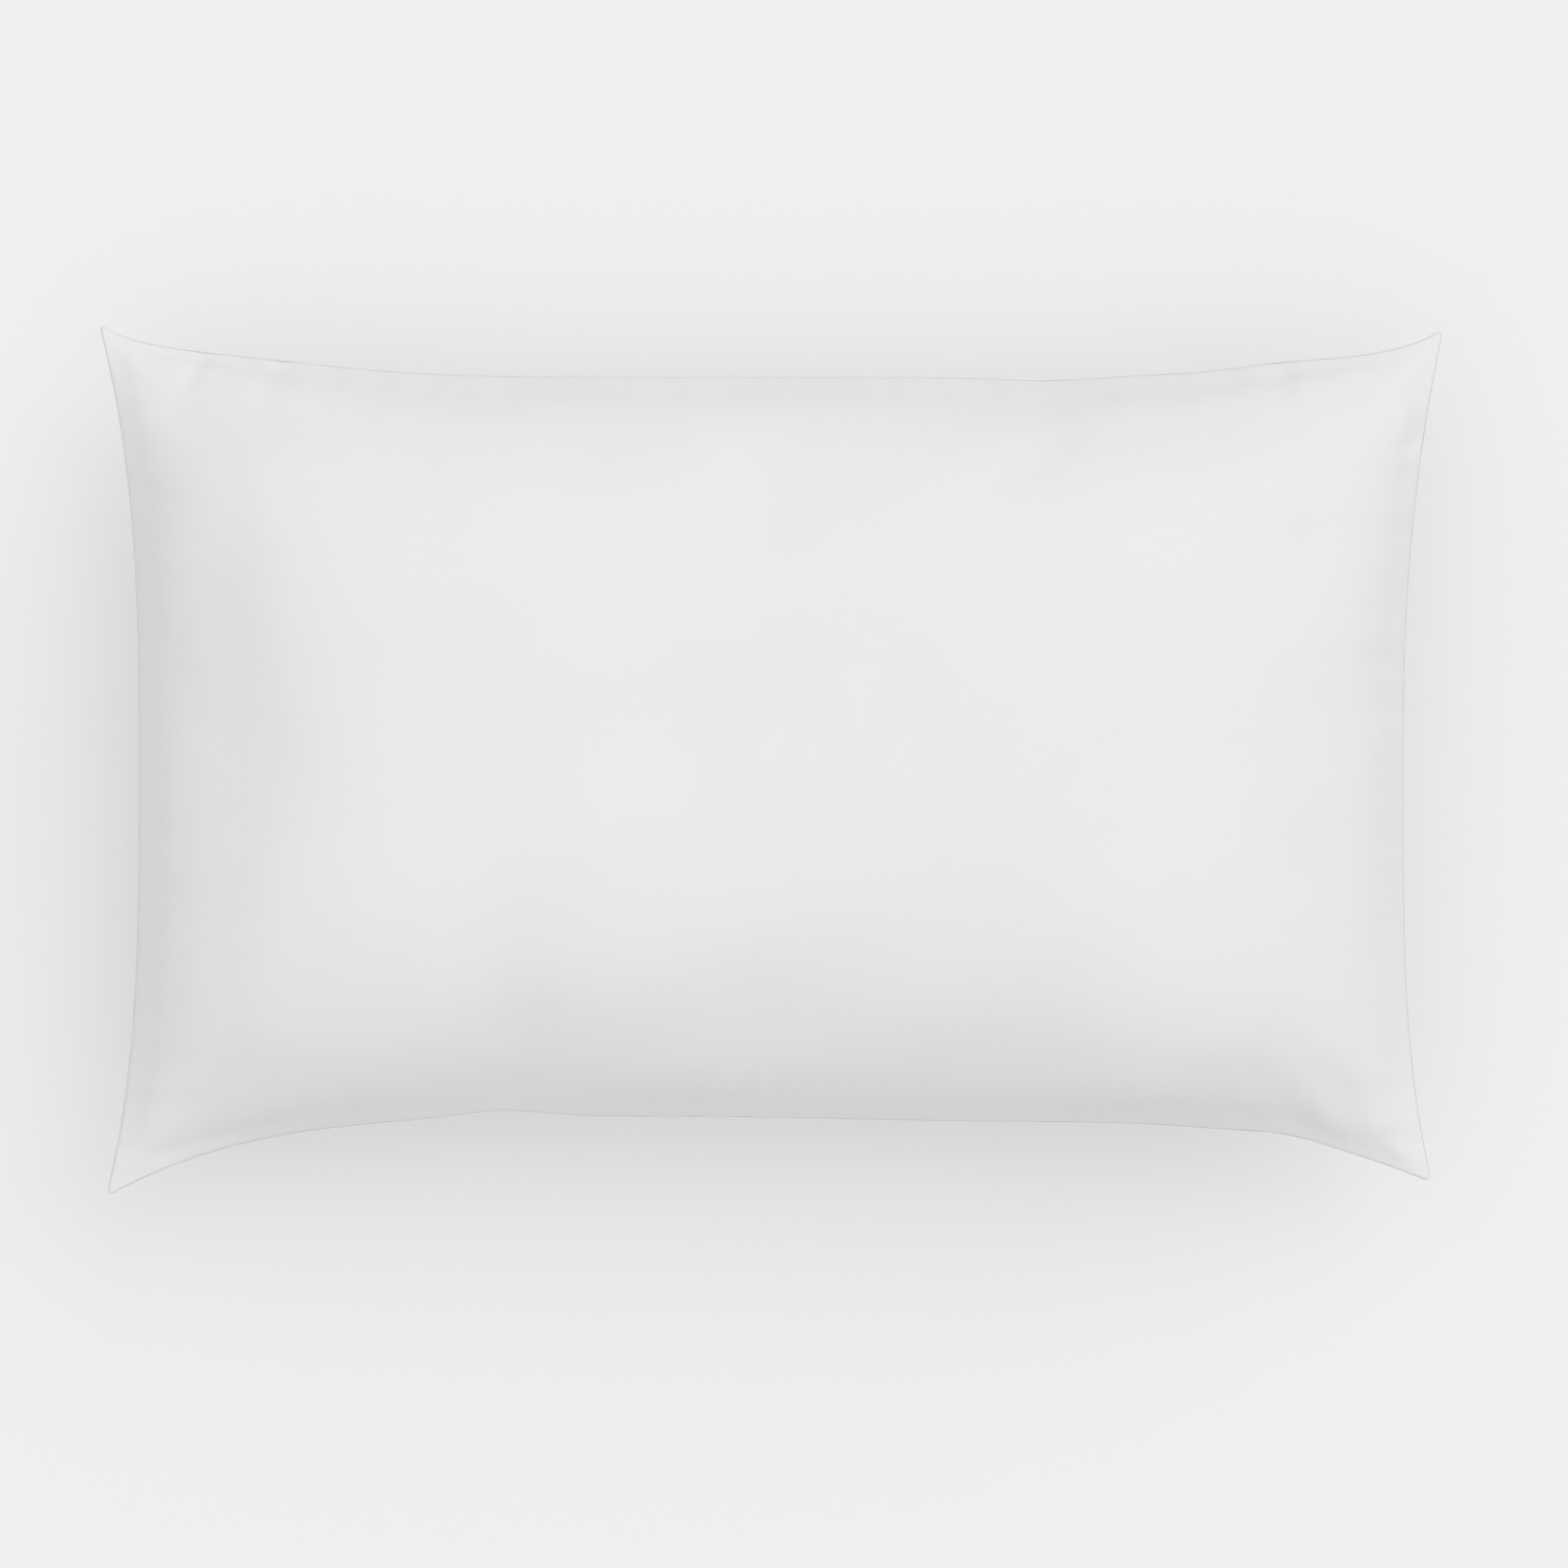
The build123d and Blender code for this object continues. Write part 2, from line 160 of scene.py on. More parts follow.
CUT_LONG = 0.750            # the cover's panels as cut, from seam to seam
CUT_SHORT = 0.500
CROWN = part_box("cover_front_panel")[1].z - seam_height
FULL_ACROSS = 3.0
FULL_ALONG = 4.5
EDGE_SHARPNESS = 0.25
MID_LONG, MID_SHORT = 0.3325, 0.1955
TIP_ROUND = 0.0050
TIP_DROOP = 0.005
TIP_FLATTEN = 0.72          # how much of the loft is missing at a tip, where no fibre gets in
FLAT_FROM, FLAT_OVER = 0.3, 0.6     # product of the two steps at which that starts, and over how much
FLOOR_SOFT = 0.004
LEFT = dict(mid=-0.3340, tips=(-0.3520, -0.3556), powers=(3.4, 2.8), ear=0.0, dents=())
RIGHT = dict(mid=0.3335, tips=(0.3492, 0.3552), powers=(3.6, 2.3), ear=0.0, dents=())
NEAR = dict(mid=-0.1903, tips=(-0.2325, -0.2252), powers=(4.6, 4.3), ear=0.0,
            dents=((-0.40, 0.09, 0.0035), (0.32, 0.28, -0.0024), (0.78, 0.07, 0.0022)))
FAR = dict(mid=0.2005, tips=(0.2296, 0.2270), powers=(4.0, 4.6), ear=0.22,
           dents=((0.41, 0.10, -0.0020), (-0.75, 0.17, 0.0026), (0.76, 0.09, 0.0022)))
EAR_POWER = 40              # a tip that ticks out at its very end, besides the long curve to it


def spread(t):
    """Share of the way from the middle to the seam: (1 - k) sin(pi t / 2) + k t."""
    return (1 - EDGE_SHARPNESS) * np.sin(np.pi * t / 2) + EDGE_SHARPNESS * t


def arch(t, fullness):
    """Height of the crown: the square root of 1 - |sin(pi t / 2)| ** fullness."""
    return np.sqrt(np.maximum(0, 1 - np.abs(np.sin(np.pi * t / 2)) ** fullness))


def ramp(value):
    """Smooth step of a value clipped to 0 and 1: 3 t squared - 2 t cubed."""
    t = np.clip(value, 0, 1)
    return t * t * (3 - 2 * t)


def side(u, inset, tip_pull, mid, tips, powers, ear, dents):
    """One side of the seam: from its middle out to its tips as |u| to a power, with a share of
    a much higher power for an ear, and a smooth dent here and there."""
    inward = -np.sign(mid)
    reach = np.where(u < 0, tips[0], tips[1]) - mid + inward * tip_pull
    power = np.where(u < 0, powers[0], powers[1])
    curve = (1 - ear) * np.abs(u) ** power + ear * np.abs(u) ** EAR_POWER
    line = mid + inward * inset + reach * curve
    for where, width, depth in dents:
        line = line + depth * np.exp(-((u - where) / width) ** 2)
    return line


def plan(u, v, inset=0.0, tip_pull=0.0):
    """Place on the plan at u along and v across, -1 to 1, between a layer's four sides."""
    left, right = side(v, inset, tip_pull, **LEFT), side(v, inset, tip_pull, **RIGHT)
    near, far = side(u, inset, tip_pull, **NEAR), side(u, inset, tip_pull, **FAR)
    x = (left + right) / 2 + (right - left) / 2 * u
    y = (near + far) / 2 + (far - near) / 2 * v
    return x, y


def soften_tips(u, v):
    """Rounds the plan's four corners: the last square of it, p by q, becomes a quarter disc
    through p sqrt(1 - q q / 2) and q sqrt(1 - p p / 2)."""
    round_u, round_v = TIP_ROUND / MID_LONG, TIP_ROUND / MID_SHORT
    p = np.maximum(0, np.abs(u) - 1 + round_u) / round_u
    q = np.maximum(0, np.abs(v) - 1 + round_v) / round_v
    less_u = round_u * p * (1 - np.sqrt(1 - q * q / 2))
    less_v = round_v * q * (1 - np.sqrt(1 - p * p / 2))
    return u - np.sign(u) * less_u, v - np.sign(v) * less_v


def droop(u, v):
    """How far the seam hangs below its height: it grows as (u v) to the sixth, to the tips."""
    return TIP_DROOP * (u * v) ** 6


def loft(a, b, up, inset=0.0, drop=0.0, tip_pull=0.0):
    """Points of a layer, for steps a along and b across: the seam's height plus or minus the
    product of two arches, less towards the tips as |a b| nears 1, and with the belly pressed
    flat on the floor by a soft maximum."""
    u, v = soften_tips(spread(a), spread(b))
    x, y = plan(u, v, inset, tip_pull)
    rise = (CROWN - drop) * arch(a, FULL_ALONG) * arch(b, FULL_ACROSS)
    rise = rise * (1 - TIP_FLATTEN * ramp((np.abs(a * b) - FLAT_FROM) / FLAT_OVER))
    if up < 0:
        room = seam_height - drop
        rise = room - FLOOR_SOFT * np.logaddexp(0, (room - rise) / FLOOR_SOFT)
    return np.stack([x, y, seam_height - droop(u, v) + up * rise], -1)


def cut_place(t, half_width, height, fullness):
    """Where step t lies on the flat cut: the length along the middle arch, as a share -1 to 1."""
    fine = np.linspace(-1, 1, 4001)
    steps = np.hypot(np.diff(half_width * spread(fine)), np.diff(height * arch(fine, fullness)))
    length = np.concatenate([[0], np.cumsum(steps)])
    return np.interp(t, fine, 2 * length / length[-1] - 1)


def cut_uv(a, b):
    """Place on the flat cut in metres, the long way and the short way."""
    long_way = CUT_LONG / 2 * cut_place(a, MID_LONG, CROWN, FULL_ALONG)
    short_way = CUT_SHORT / 2 * cut_place(b, MID_SHORT, CROWN, FULL_ACROSS)
    return np.stack([long_way, short_way], -1)


def grid_faces(index, flip=False):
    """Quads between neighbours of a two-way array of point numbers."""
    quads = np.stack([index[:-1, :-1], index[1:, :-1], index[1:, 1:], index[:-1, 1:]], -1)
    quads = quads.reshape(-1, 4)
    return quads[:, ::-1] if flip else quads


def bag_numbers(count_a, count_b):
    """Point numbers of a closed bag's two grids, which share the points of their seam."""
    front = np.arange(count_a * count_b).reshape(count_a, count_b)
    back = front.copy()
    back[1:-1, 1:-1] = front.size + np.arange((count_a - 2) * (count_b - 2)).reshape(count_a - 2, -1)
    return front, back


# How the cut cloth settles: Blender's cloth, inflated, with the flat cut as its rest shape. Each
# point is also held to the loft, firmly in the middle and loosely near the seam, because the
# cloth alone would blow up to a barrel where fibre packs flatter.
CLOTH_LONG, CLOTH_SHORT = 113, 81
CLOTH_FRAMES = 24
HOLD = 0.3
HOLD_STEPS = 40
HOLD_SEAM, HOLD_LEAST, HOLD_REACH = 0.6, 0.12, 0.35     # at the seam, beside it, and up to full hold
MOST_SETTLE = 0.003
SEAM_SETTLE = 0.25          # share of the move that the stiff seam makes
SEAM_REACH = 0.12           # steps from a side over which the cloth comes free of it
CREASE_SOFTEN = 3           # passes of a 1-2-1 mean, as the fibre behind it fills fine creases

cloth_a, cloth_b = np.linspace(-1, 1, CLOTH_LONG), np.linspace(-1, 1, CLOTH_SHORT)
settled = {1: np.zeros((CLOTH_LONG, CLOTH_SHORT, 3)), -1: np.zeros((CLOTH_LONG, CLOTH_SHORT, 3))}
grid_a, grid_b = np.meshgrid(cloth_a, cloth_b, indexing="ij")
front_number, back_number = bag_numbers(CLOTH_LONG, CLOTH_SHORT)
start = np.concatenate([loft(grid_a, grid_b, 1).reshape(-1, 3),
                        loft(grid_a, grid_b, -1)[1:-1, 1:-1].reshape(-1, 3)])
cut = np.dstack([cut_uv(grid_a, grid_b), np.full_like(grid_a, seam_height)])
cut = np.concatenate([cut.reshape(-1, 3), cut[1:-1, 1:-1].reshape(-1, 3)])
bag = mesh_piece("bag", start, np.concatenate([grid_faces(front_number),
                                               grid_faces(back_number, True)]))
bag.shape_key_add(name="filled")
cut_key = bag.shape_key_add(name="cut flat")
cut_key.data.foreach_set("co", cut.astype(np.float32).ravel())
from_seam = np.minimum(1 - np.abs(grid_a), 1 - np.abs(grid_b))
hold = HOLD * np.where(from_seam < 1e-9, HOLD_SEAM,
                        np.clip(from_seam / HOLD_REACH, HOLD_LEAST, 1))
hold = np.concatenate([hold.ravel(), hold[1:-1, 1:-1].ravel()])
group = bag.vertex_groups.new(name="held to the loft")
for step in range(HOLD_STEPS):
    middle = (step + 0.5) / HOLD_STEPS
    members = np.nonzero(np.abs(hold - middle) <= 0.5 / HOLD_STEPS)[0]
    group.add(members.tolist(), middle, "REPLACE")
cloth = bag.modifiers.new("inflate", "CLOTH")
cloth.settings.rest_shape_key = cut_key
cloth.settings.quality = 5
cloth.settings.mass = 0.15
cloth.settings.tension_stiffness = 60
cloth.settings.compression_stiffness = 60
cloth.settings.shear_stiffness = 5
cloth.settings.bending_stiffness = 0.1
cloth.settings.use_pressure = True
cloth.settings.uniform_pressure_force = 1.5
cloth.settings.vertex_group_mass = group.name
cloth.settings.pin_stiffness = 0.1
cloth.settings.effector_weights.gravity = 0
cloth.point_cache.frame_start = 1
cloth.point_cache.frame_end = CLOTH_FRAMES
for step in range(1, CLOTH_FRAMES + 1):
    bpy.context.scene.frame_set(step)
blown = bag.evaluated_get(bpy.context.evaluated_depsgraph_get()).data
end = np.empty(start.size, np.float32)
blown.vertices.foreach_get("co", end)
move = end.reshape(-1, 3) - start
far = np.linalg.norm(move, axis=1, keepdims=True)
move = move * np.minimum(1, MOST_SETTLE / np.maximum(far, MOST_SETTLE / 10))
settled = {1: move[front_number], -1: move[back_number]}
for moves in settled.values():
    for _ in range(CREASE_SOFTEN):
        moves[1:-1] = (moves[:-2] + 2 * moves[1:-1] + moves[2:]) / 4
        moves[:, 1:-1] = (moves[:, :-2] + 2 * moves[:, 1:-1] + moves[:, 2:]) / 4
bpy.context.scene.frame_set(1)
bpy.data.objects.remove(bag)


def settle(a, b, up):
    """Move of the settled cloth at steps a and b, read from its grid by cubic weights: of the
    four neighbours each way, by Catmull and Rom's spline, and less of it towards the seam."""
    def neighbours(t, count):
        """Grid numbers of the four neighbours of each step t, and their weights."""
        place = np.clip((t + 1) / 2 * (count - 1), 0, count - 1)
        whole = np.minimum(place.astype(int), count - 2)
        f = place - whole
        weights = [-f / 2 + f ** 2 - f ** 3 / 2, 1 - 2.5 * f ** 2 + 1.5 * f ** 3,
                   f / 2 + 2 * f ** 2 - 1.5 * f ** 3, (f ** 3 - f ** 2) / 2]
        return [np.clip(whole + k, 0, count - 1) for k in (-1, 0, 1, 2)], weights
    rows, row_weights = neighbours(a, CLOTH_LONG)
    columns, column_weights = neighbours(b, CLOTH_SHORT)
    total = 0
    for row, row_weight in zip(rows, row_weights):
        for column, column_weight in zip(columns, column_weights):
            total = total + (row_weight * column_weight)[..., None] * settled[up][row, column]
    from_side = np.minimum(1 - np.abs(a), 1 - np.abs(b))
    free = SEAM_SETTLE + (1 - SEAM_SETTLE) * ramp(from_side / SEAM_REACH)
    return total * np.asarray(free)[..., None]


# Where the packed fibre stands fuller or slacker than the even loft: x, y, radius and height
PLUMP = ((-0.225, -0.135, 0.075, 0.0045), (0.190, -0.145, 0.080, 0.0050),
         (-0.010, -0.145, 0.100, 0.0025), (-0.300, 0.020, 0.060, -0.0020))
WAVE_COUNT = 16
WAVE_LENGTHS = (0.07, 0.22)
WAVE_HEIGHT = 0.0007
PUCKER_COUNT = 7
PUCKER_LENGTHS = (0.012, 0.045)
PUCKER_HEIGHT = {1: 0.00025, -1: 0.0006}
PUCKER_REACH = 0.014
ARC_PER_STEP = 0.2          # metres of cloth for each unit of a or b near the seam
TIP_FOLD = 0.0003
# Short tucks that the seam draws into the cloth: x, y, length, width, turn from +X, height
TUCKS = ((-0.302, 0.205, 0.020, 0.0050, 1.1, -0.0010), (-0.262, 0.198, 0.026, 0.0060, 1.35, -0.0010),
         (0.268, 0.192, 0.024, 0.0070, 1.75, -0.0009), (0.212, 0.190, 0.022, 0.0060, 1.5, -0.0008),
         (0.338, 0.165, 0.014, 0.0050, 0.5, -0.0012), (0.300, -0.182, 0.026, 0.0070, -1.2, -0.0010),
         (-0.330, 0.140, 0.018, 0.0060, -0.3, -0.0010))
chance = np.random.default_rng(7)
wave_turn = chance.uniform(0, 2 * np.pi, WAVE_COUNT)
wave_length = chance.uniform(*WAVE_LENGTHS, WAVE_COUNT)
wave_phase = chance.uniform(0, 2 * np.pi, WAVE_COUNT)
pucker_length = chance.uniform(*PUCKER_LENGTHS, PUCKER_COUNT)
pucker_phase = chance.uniform(0, 2 * np.pi, (4, PUCKER_COUNT))


def waves(x, y):
    """Sum of plane waves in all directions, of unit height on the average."""
    along = x[..., None] * np.cos(wave_turn) + y[..., None] * np.sin(wave_turn)
    return np.cos(2 * np.pi * along / wave_length + wave_phase).sum(-1) / np.sqrt(WAVE_COUNT / 2)


def puckers(along, from_seam, phase):
    """Uneven ripples along a seam, which rise and die away as (d / r) exp(1 - d / r)."""
    ripple = np.sin(2 * np.pi * along[..., None] / pucker_length + phase).sum(-1)
    away = from_seam * ARC_PER_STEP / PUCKER_REACH
    return ripple / np.sqrt(PUCKER_COUNT / 2) * away * np.exp(1 - away)


def relief(x, y, a, b, up):
    """Height of the cloth over its even form: plump and slack places, long soft waves, puckers
    along the four sides, a fold out to each tip, and a few tucks. It is 0 on the seam."""
    from_side = np.minimum(1 - np.abs(a), 1 - np.abs(b))
    height = WAVE_HEIGHT * waves(x + 3 * up, y)
    if up > 0:
        for at_x, at_y, radius, high in PLUMP:
            height = height + high * np.exp(-((x - at_x) ** 2 + (y - at_y) ** 2) / radius ** 2)
    height = height * ramp(from_side / 0.3)
    sides = ((x, 1 + b, a), (x, 1 - b, a), (y, 1 + a, b), (y, 1 - a, b))
    for (along, gap, other), phase in zip(sides, pucker_phase):
        height = height + PUCKER_HEIGHT[up] * puckers(along, gap, phase) * (1 - other ** 8)
    out = np.abs(a * b)
    across = (1 - np.abs(a)) - 0.8 * (1 - np.abs(b))
    height = height + TIP_FOLD * ramp((out - 0.45) / 0.3) * np.exp(-(across / 0.06) ** 2) \
        * ramp(from_side / 0.05)
    if up > 0:
        for at_x, at_y, length, width, turn, high in TUCKS:
            run = (x - at_x) * np.cos(turn) + (y - at_y) * np.sin(turn)
            off = (y - at_y) * np.cos(turn) - (x - at_x) * np.sin(turn)
            height = height + high * np.exp(-(run / length) ** 2 - (off / width) ** 2) \
                * ramp(from_side / 0.02)
    return height


def layer(a, b, up, inset=0.0, drop=0.0, tip_pull=0.0):
    """Points of a layer as it lies: its loft, moved as the cloth settles, and stood out along
    its own normal by the relief, but no lower than the floor."""
    points = loft(a, b, up, inset, drop, tip_pull) + settle(a, b, up)
    normal = np.cross(np.gradient(points, axis=0), np.gradient(points, axis=1)) * up
    normal = normal / np.maximum(np.linalg.norm(normal, axis=-1, keepdims=True), 1e-12)
    points = points + normal * relief(points[..., 0], points[..., 1], a, b, up)[..., None]
    points[..., 2] = np.maximum(points[..., 2], drop)
    return points


FILL = dict(inset=0.013, drop=0.0040, tip_pull=0.050)
FILL_LONG, FILL_SHORT = 161, 121
TUFT_HEIGHT = 0.0005

fill_a, fill_b = np.meshgrid(np.linspace(-1, 1, FILL_LONG), np.linspace(-1, 1, FILL_SHORT),
                             indexing="ij")
top, under = layer(fill_a, fill_b, 1, **FILL), layer(fill_a, fill_b, -1, **FILL)
tufts = TUFT_HEIGHT * waves(9 * top[..., 0], 9 * top[..., 1]) * ramp(arch(fill_a, 2) * arch(fill_b, 2))
top[..., 2] -= np.abs(tufts)
under[..., 2] += np.abs(tufts)
fill_front, fill_back = bag_numbers(FILL_LONG, FILL_SHORT)
fibre = mesh_piece("fibre_fill_blown", np.concatenate([top.reshape(-1, 3),
                                                       under[1:-1, 1:-1].reshape(-1, 3)]),
                   np.concatenate([grid_faces(fill_front), grid_faces(fill_back, True)]))

# Blown polyester fibre: a matt white fleece of crimped strands, with soft clumps. The strands
# are 0.03 mm thick and would not show, so they are drawn as streaks about 1 mm wide.
polyester, shader = new_material("polyester fibre, crimped and blown", Roughness=0.95,
                                 Specular_IOR_Level=0.2, Sheen_Weight=0.3)
place = add(polyester, "ShaderNodeTexCoord").outputs["Object"]
strands = add(polyester, "ShaderNodeTexNoise", inputs={"Scale": 420, "Detail": 4, "Distortion": 3},
              links={"Vector": place}).outputs["Fac"]
clumps = add(polyester, "ShaderNodeTexNoise", inputs={"Scale": 38, "Detail": 3},
             links={"Vector": place}).outputs["Fac"]
# Painted shade: the fleece is coloured darker where the clumps' noise lies low, in the hollows that the
# same noise makes in the bump below.
tone = add(polyester, "ShaderNodeMix", {"data_type": "RGBA"},
           {"A": linear("#dcdcdb"), "B": linear("#f4f4f3")}, {"Factor": clumps})
height = add(polyester, "ShaderNodeMath", {"operation": "MULTIPLY_ADD"}, {1: 0.35},
             {0: strands, 2: clumps}).outputs[0]
bump = add(polyester, "ShaderNodeBump", inputs={"Strength": 0.8, "Distance": 0.002},
           links={"Height": height})
feed(polyester, shader, Base_Color=tone.outputs["Result"], Normal=bump.outputs["Normal"])
fibre.data.materials.append(polyester)
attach(fibre, "root")
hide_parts("fibre_fill")

# ---------------------------------------------------------------------------------------------
# Ticking panels: the inner pillow's own bag, two panels of dense cotton twill, cut a little
# smaller than the cover, sewn face to face all round and turned right side out.

TICKING = dict(inset=0.008, drop=0.0022, tip_pull=0.028)
TICKING_THICK = 0.0005
TICKING_GRID = (161, 121)
SEAM_GAP = 0.00004          # half the line between the two panels where they meet
EDGE_ROLL = 0.0006          # how far a panel rolls over, from its face down to that line
ROLL_STEPS = 0.022
ALLOWANCE = ((0.0005, 0.0008), (0.0024, 0.0040), (0.0046, 0.0090))


def loop_of(index):
    """Point numbers round the border of a two-way array, starting at its first corner."""
    return np.concatenate([index[:-1, 0], index[-1, :-1], index[:0:-1, -1], index[0, :0:-1]])


def strip_faces(first, second, flip=False):
    """Quads between two loops of as many points."""
    quads = np.stack([np.roll(first, -1), first, second, np.roll(second, -1)], -1)
    return quads[:, ::-1] if flip else quads


def panel_mesh(a, b, up, inset=0.0, drop=0.0, tip_pull=0.0):
    """Points, faces and UV of one cloth panel: its layer, rolled over at the border by a quarter
    circle, and the seam allowance turned in under it as three loops."""
    points = layer(a, b, up, inset, drop, tip_pull)
    from_side = np.minimum(1 - np.abs(a), 1 - np.abs(b))
    over = 1 - np.minimum(1, from_side / ROLL_STEPS)
    points[..., 2] += up * (SEAM_GAP + EDGE_ROLL * np.sqrt(1 - over ** 2))
    points[..., 2] = np.maximum(points[..., 2], drop)
    number = np.arange(a.size).reshape(a.shape)
    border = loop_of(number)
    faces = [grid_faces(number, up < 0)]
    cloth_uv = cut_uv(a, b).reshape(-1, 2)
    flat_points, flat_uv = [points.reshape(-1, 3)], [cloth_uv]
    u, v = soften_tips(spread(a), spread(b))
    edge_u, edge_v = u.ravel()[border], v.ravel()[border]
    settling = settle(a, b, up).reshape(-1, 3)[border]
    last = border
    for depth, from_tip in ALLOWANCE:
        x, y = plan(edge_u, edge_v, inset + depth, tip_pull + from_tip)
        z = seam_height - droop(edge_u, edge_v) + up * SEAM_GAP
        ring = last[-1] + 1 + np.arange(len(border)) if last is not border else a.size + \
            np.arange(len(border))
        flat_points.append(np.stack([x, y, z], -1) + settling)
        flat_uv.append(cloth_uv[border] * (1 + depth / MID_SHORT))
        faces.append(strip_faces(last, ring, up < 0))
        last = ring
    return np.concatenate(flat_points), np.concatenate(faces), np.concatenate(flat_uv), points


def thicken(piece, thickness):
    """Gives a sheet its thickness, inwards from the face that is modelled."""
    solid = piece.modifiers.new("thickness", "SOLIDIFY")
    solid.thickness = thickness
    solid.offset = -1


def weave(material, thread, steep):
    """Height of woven cloth on the UV map, 0 to 1: the product of a sine across each system of
    threads, where steep is 1 for plain weave; for twill, steep 0, one sine along the diagonal."""
    uv = add(material, "ShaderNodeUVMap", {"uv_map": "cloth"}).outputs["UV"]
    split = add(material, "ShaderNodeSeparateXYZ", links={"Vector": uv}).outputs
    turn = np.pi / thread
    if steep:
        warp = add(material, "ShaderNodeMath", {"operation": "MULTIPLY"}, {1: turn}, {0: split["X"]})
        weft = add(material, "ShaderNodeMath", {"operation": "MULTIPLY"}, {1: turn}, {0: split["Y"]})
        first = add(material, "ShaderNodeMath", {"operation": "SINE"}, links={0: warp.outputs[0]})
        second = add(material, "ShaderNodeMath", {"operation": "SINE"}, links={0: weft.outputs[0]})
        return add(material, "ShaderNodeMath", {"operation": "MULTIPLY"},
                   links={0: first.outputs[0], 1: second.outputs[0]}).outputs[0]
    both = add(material, "ShaderNodeMath", links={0: split["X"], 1: split["Y"]}).outputs[0]
    diagonal = add(material, "ShaderNodeMath", {"operation": "MULTIPLY"}, {1: turn}, {0: both})
    return add(material, "ShaderNodeMath", {"operation": "SINE"}, links={0: diagonal.outputs[0]}).outputs[0]


# Cotton ticking: dense unbleached twill, matt, a little warmer than the cover, with a fine
# diagonal rib. The ribs are 0.5 mm apart and are drawn at 1.2 mm.
ticking_cloth, shader = new_material("cotton ticking, twill woven", Roughness=0.85,
                                     Specular_IOR_Level=0.2, Sheen_Weight=0.15)
place = add(ticking_cloth, "ShaderNodeTexCoord").outputs["Object"]
yarn = add(ticking_cloth, "ShaderNodeTexNoise", inputs={"Scale": 60, "Detail": 6},
           links={"Vector": place}).outputs["Fac"]
tone = add(ticking_cloth, "ShaderNodeMix", {"data_type": "RGBA"},
           {"A": linear("#dfdcd3"), "B": linear("#efece4")}, {"Factor": yarn})
bump = add(ticking_cloth, "ShaderNodeBump", inputs={"Strength": 0.5, "Distance": 0.0002},
           links={"Height": weave(ticking_cloth, 0.0006, 0)})
feed(ticking_cloth, shader, Base_Color=tone.outputs["Result"], Normal=bump.outputs["Normal"])

ticking_a, ticking_b = np.meshgrid(np.linspace(-1, 1, TICKING_GRID[0]),
                                   np.linspace(-1, 1, TICKING_GRID[1]), indexing="ij")
for half, up in (("front", 1), ("back", -1)):
    points, faces, uv, _ = panel_mesh(ticking_a, ticking_b, up, **TICKING)
    ticking = mesh_piece(f"ticking_{half}_cloth", points, faces, uv)
    thicken(ticking, TICKING_THICK)
    ticking.data.materials.append(ticking_cloth)
    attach(ticking, "root")
    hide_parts(f"ticking_{half}_panel")

# ---------------------------------------------------------------------------------------------
# Ticking seam: the two raw edges inside the bag, bound together by an overlock stitch, whose
# loops wrap the edge, beside a straight needle thread. Polyester-cotton thread, 0.3 mm thick.

LOOP_PITCH = 0.0026
LOOP_THREAD = 0.00015
LOOP_STEPS = 8
LOOP_HALF_WIDTH = 0.0017
LOOP_HALF_HEIGHT = 0.0009


def tubes(paths, ups, radius, sides=6, closed=False):
    """Points and faces of many round tubes of as many steps: paths and ups are arrays of tube,
    step and x, y, z, and each ring is r (cos s + sin n) round its path's tangent."""
    if closed:
        tangent = np.roll(paths, -1, axis=1) - np.roll(paths, 1, axis=1)
    else:
        tangent = np.gradient(paths, axis=1)
    tangent = tangent / np.linalg.norm(tangent, axis=-1, keepdims=True)
    across = np.cross(tangent, ups)
    across = across / np.linalg.norm(across, axis=-1, keepdims=True)
    over = np.cross(across, tangent)
    angle = np.arange(sides) * 2 * np.pi / sides
    ring = np.cos(angle)[:, None] * across[..., None, :] + np.sin(angle)[:, None] * over[..., None, :]
    points = paths[..., None, :] + np.broadcast_to(radius, paths.shape[:2])[..., None, None] * ring
    count, steps = paths.shape[:2]
    number = np.arange(points.size // 3).reshape(count, steps, sides)
    if closed:
        number = np.concatenate([number, number[:, :1]], axis=1)
    wrapped = np.concatenate([number, number[..., :1]], axis=2)
    quads = np.stack([wrapped[:, :-1, :-1], wrapped[:, 1:, :-1], wrapped[:, 1:, 1:],
                      wrapped[:, :-1, 1:]], -1).reshape(-1, 4)
    if closed:
        return points.reshape(-1, 3), quads
    fans = [[0, j, j + 1, j + 2] for j in range(1, sides - 2, 2)]
    caps = [number[:, 0][:, fans].reshape(-1, 4), number[:, -1][:, fans].reshape(-1, 4)[:, ::-1]]
    return points.reshape(-1, 3), np.concatenate([quads, *caps])


def join(*parts):
    """Points and faces of several meshes as one."""
    starts = np.cumsum([0] + [len(points) for points, _ in parts[:-1]])
    return (np.concatenate([points for points, _ in parts]),
            np.concatenate([faces + start for (_, faces), start in zip(parts, starts)]))


